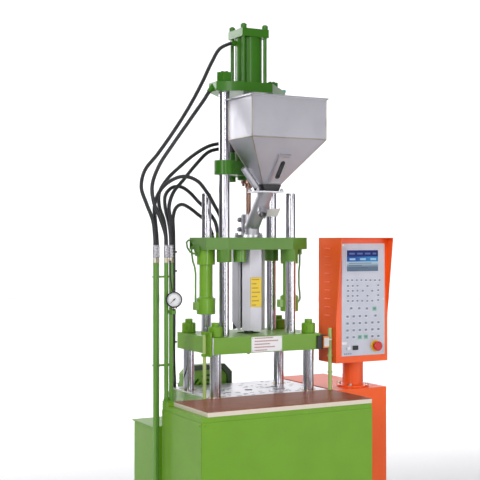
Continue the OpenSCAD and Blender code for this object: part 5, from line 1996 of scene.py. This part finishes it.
    def top_plug(self) -> bpy.types.Object:
        """Turn the teal plug at the top plate's right end."""
        plug = turned("port_plug", self.plug_rings, upright(*self.plug), sides=28)
        return self.done(plug, "port_plug", TEAL, "carriage", "green_paint")

    def build(self) -> list[bpy.types.Object]:
        """Make the press's trim.

        Returns:
            The pieces.
        """
        return [
            self.guard_label(), self.notice(), self.notice_rivets(), *self.switch(), self.corner_highlight_strip(),
            self.bolster_slots(), self.band_rings(), self.top_plug(),
        ]


# Floor, lights, sky and camera


@dataclass(frozen=True)
class StudioFloor(Finish):
    """Pale painted floor that runs up into the wall behind."""

    name: str = "studio_floor_paint"

    def material(self) -> bpy.types.Material:
        """Build the paint.

        Returns:
            Its material.
        """
        graph = Graph(self.name)
        soft = graph.noise(scale=1.6, detail=4.0)
        fine = graph.noise(scale=60.0, detail=3.0)
        return graph.surface(
            Base_Color=graph.blend(soft, (0.86, 0.86, 0.87), (0.90, 0.90, 0.91)),
            Roughness=0.6 + fine * 0.1,
            Metallic=0.0,
        )


@dataclass(frozen=True)
class Softbox:
    """A rectangular light that looks at a point, with its sizes in metres."""

    name: str
    place: Point
    target: Point
    width: float
    height: float
    watts: float


@dataclass
class Stage:
    """Floor, lights, sky and camera, in metres and degrees."""

    finishes: Finishes
    floor_size: Point = (24.0, 14.0, 1.0)
    floor_back: float = 6.9
    sweep_step: Point = (0.0, 1.5, 1.5)
    wall_step: Point = (0.0, 0.0, 9.0)
    sweep_width: float = 1.4
    sweep_faces: int = 10
    sweep_angle: float = 20.0
    view_turn: float = -28.2
    eye: Point = (-2.1482, -3.8456, 1.432)
    lens: float = 78.9
    sensor: float = 36.0
    sight_end: float = 60.0
    sky_colour: tuple[float, float, float, float] = (0.96, 0.965, 1.0, 1.0)
    sky_from: float = -0.05
    sky_to: float = 0.9
    sky_low: float = 0.16
    sky_high: float = 0.42
    sky_seen: float = 1.0
    boxes: tuple[Softbox, ...] = (
        Softbox("key_left", (-4.4, -3.4, 3.1), (0.0, 0.0, 1.3), 1.5, 3.0, 125.0),
        Softbox("front_strip", (-1.2, -5.6, 2.4), (0.0, 0.0, 1.4), 0.8, 3.4, 62.0),
        Softbox("low_right", (2.3, -3.9, 1.15), (0.0, 0.0, 1.2), 1.6, 1.3, 30.0),
        Softbox("top_light", (0.2, -0.6, 4.8), (0.0, 0.0, 1.2), 3.2, 3.2, 42.0),
        Softbox("back_fill", (-2.4, 4.6, 3.2), (0.0, 0.0, 1.2), 1.6, 2.4, 90.0),
        Softbox("wall_left", (-1.0, 4.2, 3.4), (1.0, 7.6, 1.6), 3.0, 2.0, 190.0),
        Softbox("wall_right", (4.6, 1.8, 3.4), (4.6, 6.4, 1.6), 3.0, 2.0, 190.0),
    )

    def floor(self) -> bpy.types.Object:
        """Lay the floor and turn it up behind the object.

        Returns:
            The floor.
        """
        clear_selection()
        bpy.ops.mesh.primitive_plane_add(size=1.0, location=(0, 0, 0))
        piece = bpy.context.object
        piece.scale = self.floor_size
        bpy.ops.object.transform_apply(location=True, rotation=True, scale=True)
        bpy.ops.object.mode_set(mode="EDIT")
        bpy.ops.mesh.select_mode(type="EDGE")
        bpy.ops.mesh.select_all(action="DESELECT")
        bpy.ops.object.mode_set(mode="OBJECT")
        for edge in piece.data.edges:
            edge.select = all(piece.data.vertices[v].co.y > self.floor_back for v in edge.vertices)
        bpy.ops.object.mode_set(mode="EDIT")
        bpy.ops.mesh.extrude_region_move(TRANSFORM_OT_translate={"value": self.sweep_step})
        bpy.ops.mesh.extrude_region_move(TRANSFORM_OT_translate={"value": self.wall_step})
        bpy.ops.mesh.select_all(action="SELECT")
        bpy.ops.mesh.normals_make_consistent(inside=False)
        bpy.ops.object.mode_set(mode="OBJECT")
        bevel = piece.modifiers.new("sweep", "BEVEL")
        bevel.width = self.sweep_width
        bevel.segments = self.sweep_faces
        bevel.limit_method = "ANGLE"
        bevel.angle_limit = math.radians(self.sweep_angle)
        bpy.ops.object.modifier_apply(modifier=bevel.name)
        piece.rotation_euler = (0, 0, math.radians(self.view_turn))
        bpy.ops.object.transform_apply(location=True, rotation=True, scale=True)
        bpy.ops.object.shade_smooth()
        piece.name = "studio_floor"
        self.finishes.dress(piece, StudioFloor())
        clear_selection()
        return piece

    def lights(self) -> None:
        """Hang the softboxes, each turned towards its target."""
        for box in self.boxes:
            bpy.ops.object.light_add(type="AREA", location=box.place)
            lamp = bpy.context.object
            lamp.name = box.name
            lamp.data.shape = "RECTANGLE"
            lamp.data.size, lamp.data.size_y = box.width, box.height
            lamp.data.energy = box.watts
            aim = Vector(box.target) - Vector(box.place)
            lamp.rotation_euler = aim.to_track_quat("-Z", "Y").to_euler()
        clear_selection()

    def sky(self) -> bpy.types.World:
        """Light the room from above, with darker sides that bare metal can mirror.

        The camera itself sees a plain white sky.

        Returns:
            The world.
        """
        world = bpy.data.worlds.new("studio_sky")
        world.use_nodes = True
        tree = world.node_tree
        coords = tree.nodes.new("ShaderNodeTexCoord")
        parts = tree.nodes.new("ShaderNodeSeparateXYZ")
        height = tree.nodes.new("ShaderNodeMapRange")
        height.inputs["From Min"].default_value = self.sky_from
        height.inputs["From Max"].default_value = self.sky_to
        height.inputs["To Min"].default_value = self.sky_low
        height.inputs["To Max"].default_value = self.sky_high
        light = tree.nodes["Background"]
        light.inputs["Color"].default_value = self.sky_colour
        seen = tree.nodes.new("ShaderNodeLightPath")
        shown = tree.nodes.new("ShaderNodeMix")
        shown.inputs[3].default_value = self.sky_seen
        tree.links.new(coords.outputs["Generated"], parts.inputs[0])
        tree.links.new(parts.outputs["Z"], height.inputs["Value"])
        tree.links.new(seen.outputs["Is Camera Ray"], shown.inputs[0])
        tree.links.new(height.outputs[0], shown.inputs[2])
        tree.links.new(shown.outputs[0], light.inputs["Strength"])
        bpy.context.scene.world = world
        bpy.context.scene.view_settings.view_transform = "Standard"
        return world

    def camera(self) -> bpy.types.Object:
        """Stand the camera where the photographer's was.

        Returns:
            The camera.
        """
        bpy.ops.object.camera_add(location=self.eye, rotation=(QUARTER_TURN, 0, math.radians(self.view_turn)))
        made = bpy.context.object
        made.data.lens = self.lens
        made.data.sensor_width = self.sensor
        made.data.clip_end = self.sight_end
        bpy.context.scene.camera = made
        clear_selection()
        return made


def main() -> None:
    """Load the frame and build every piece."""
    logging.basicConfig(level=logging.INFO, format="%(name)s: %(message)s")
    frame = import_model()
    finishes = Finishes()
    stage = Stage(finishes)
    stage.camera()
    for piece in HoseSet(finishes).build():
        LOG.info("HoseSet: %s, %d faces", piece.name, len(piece.data.polygons))
    LOG.info("%d nodes dressed", finishes.dress_frame(frame["nodes"]))
    slots = {row["node"]: row["material_slot"] for row in frame["record"]["subparts"]}
    for piece in EasedParts(finishes, slots).build():
        LOG.info("EasedParts: %s, %d faces", piece.name, len(piece.data.polygons))
    for unit in (ControlFace, DialGauge, PipeTops, HopperTrim, ClampTrim):
        for piece in unit(finishes).build():
            LOG.info("%s: %s, %d faces", unit.__name__, piece.name, len(piece.data.polygons))
    stage.floor()
    stage.lights()
    stage.sky()


if __name__ == "__main__":
    main()
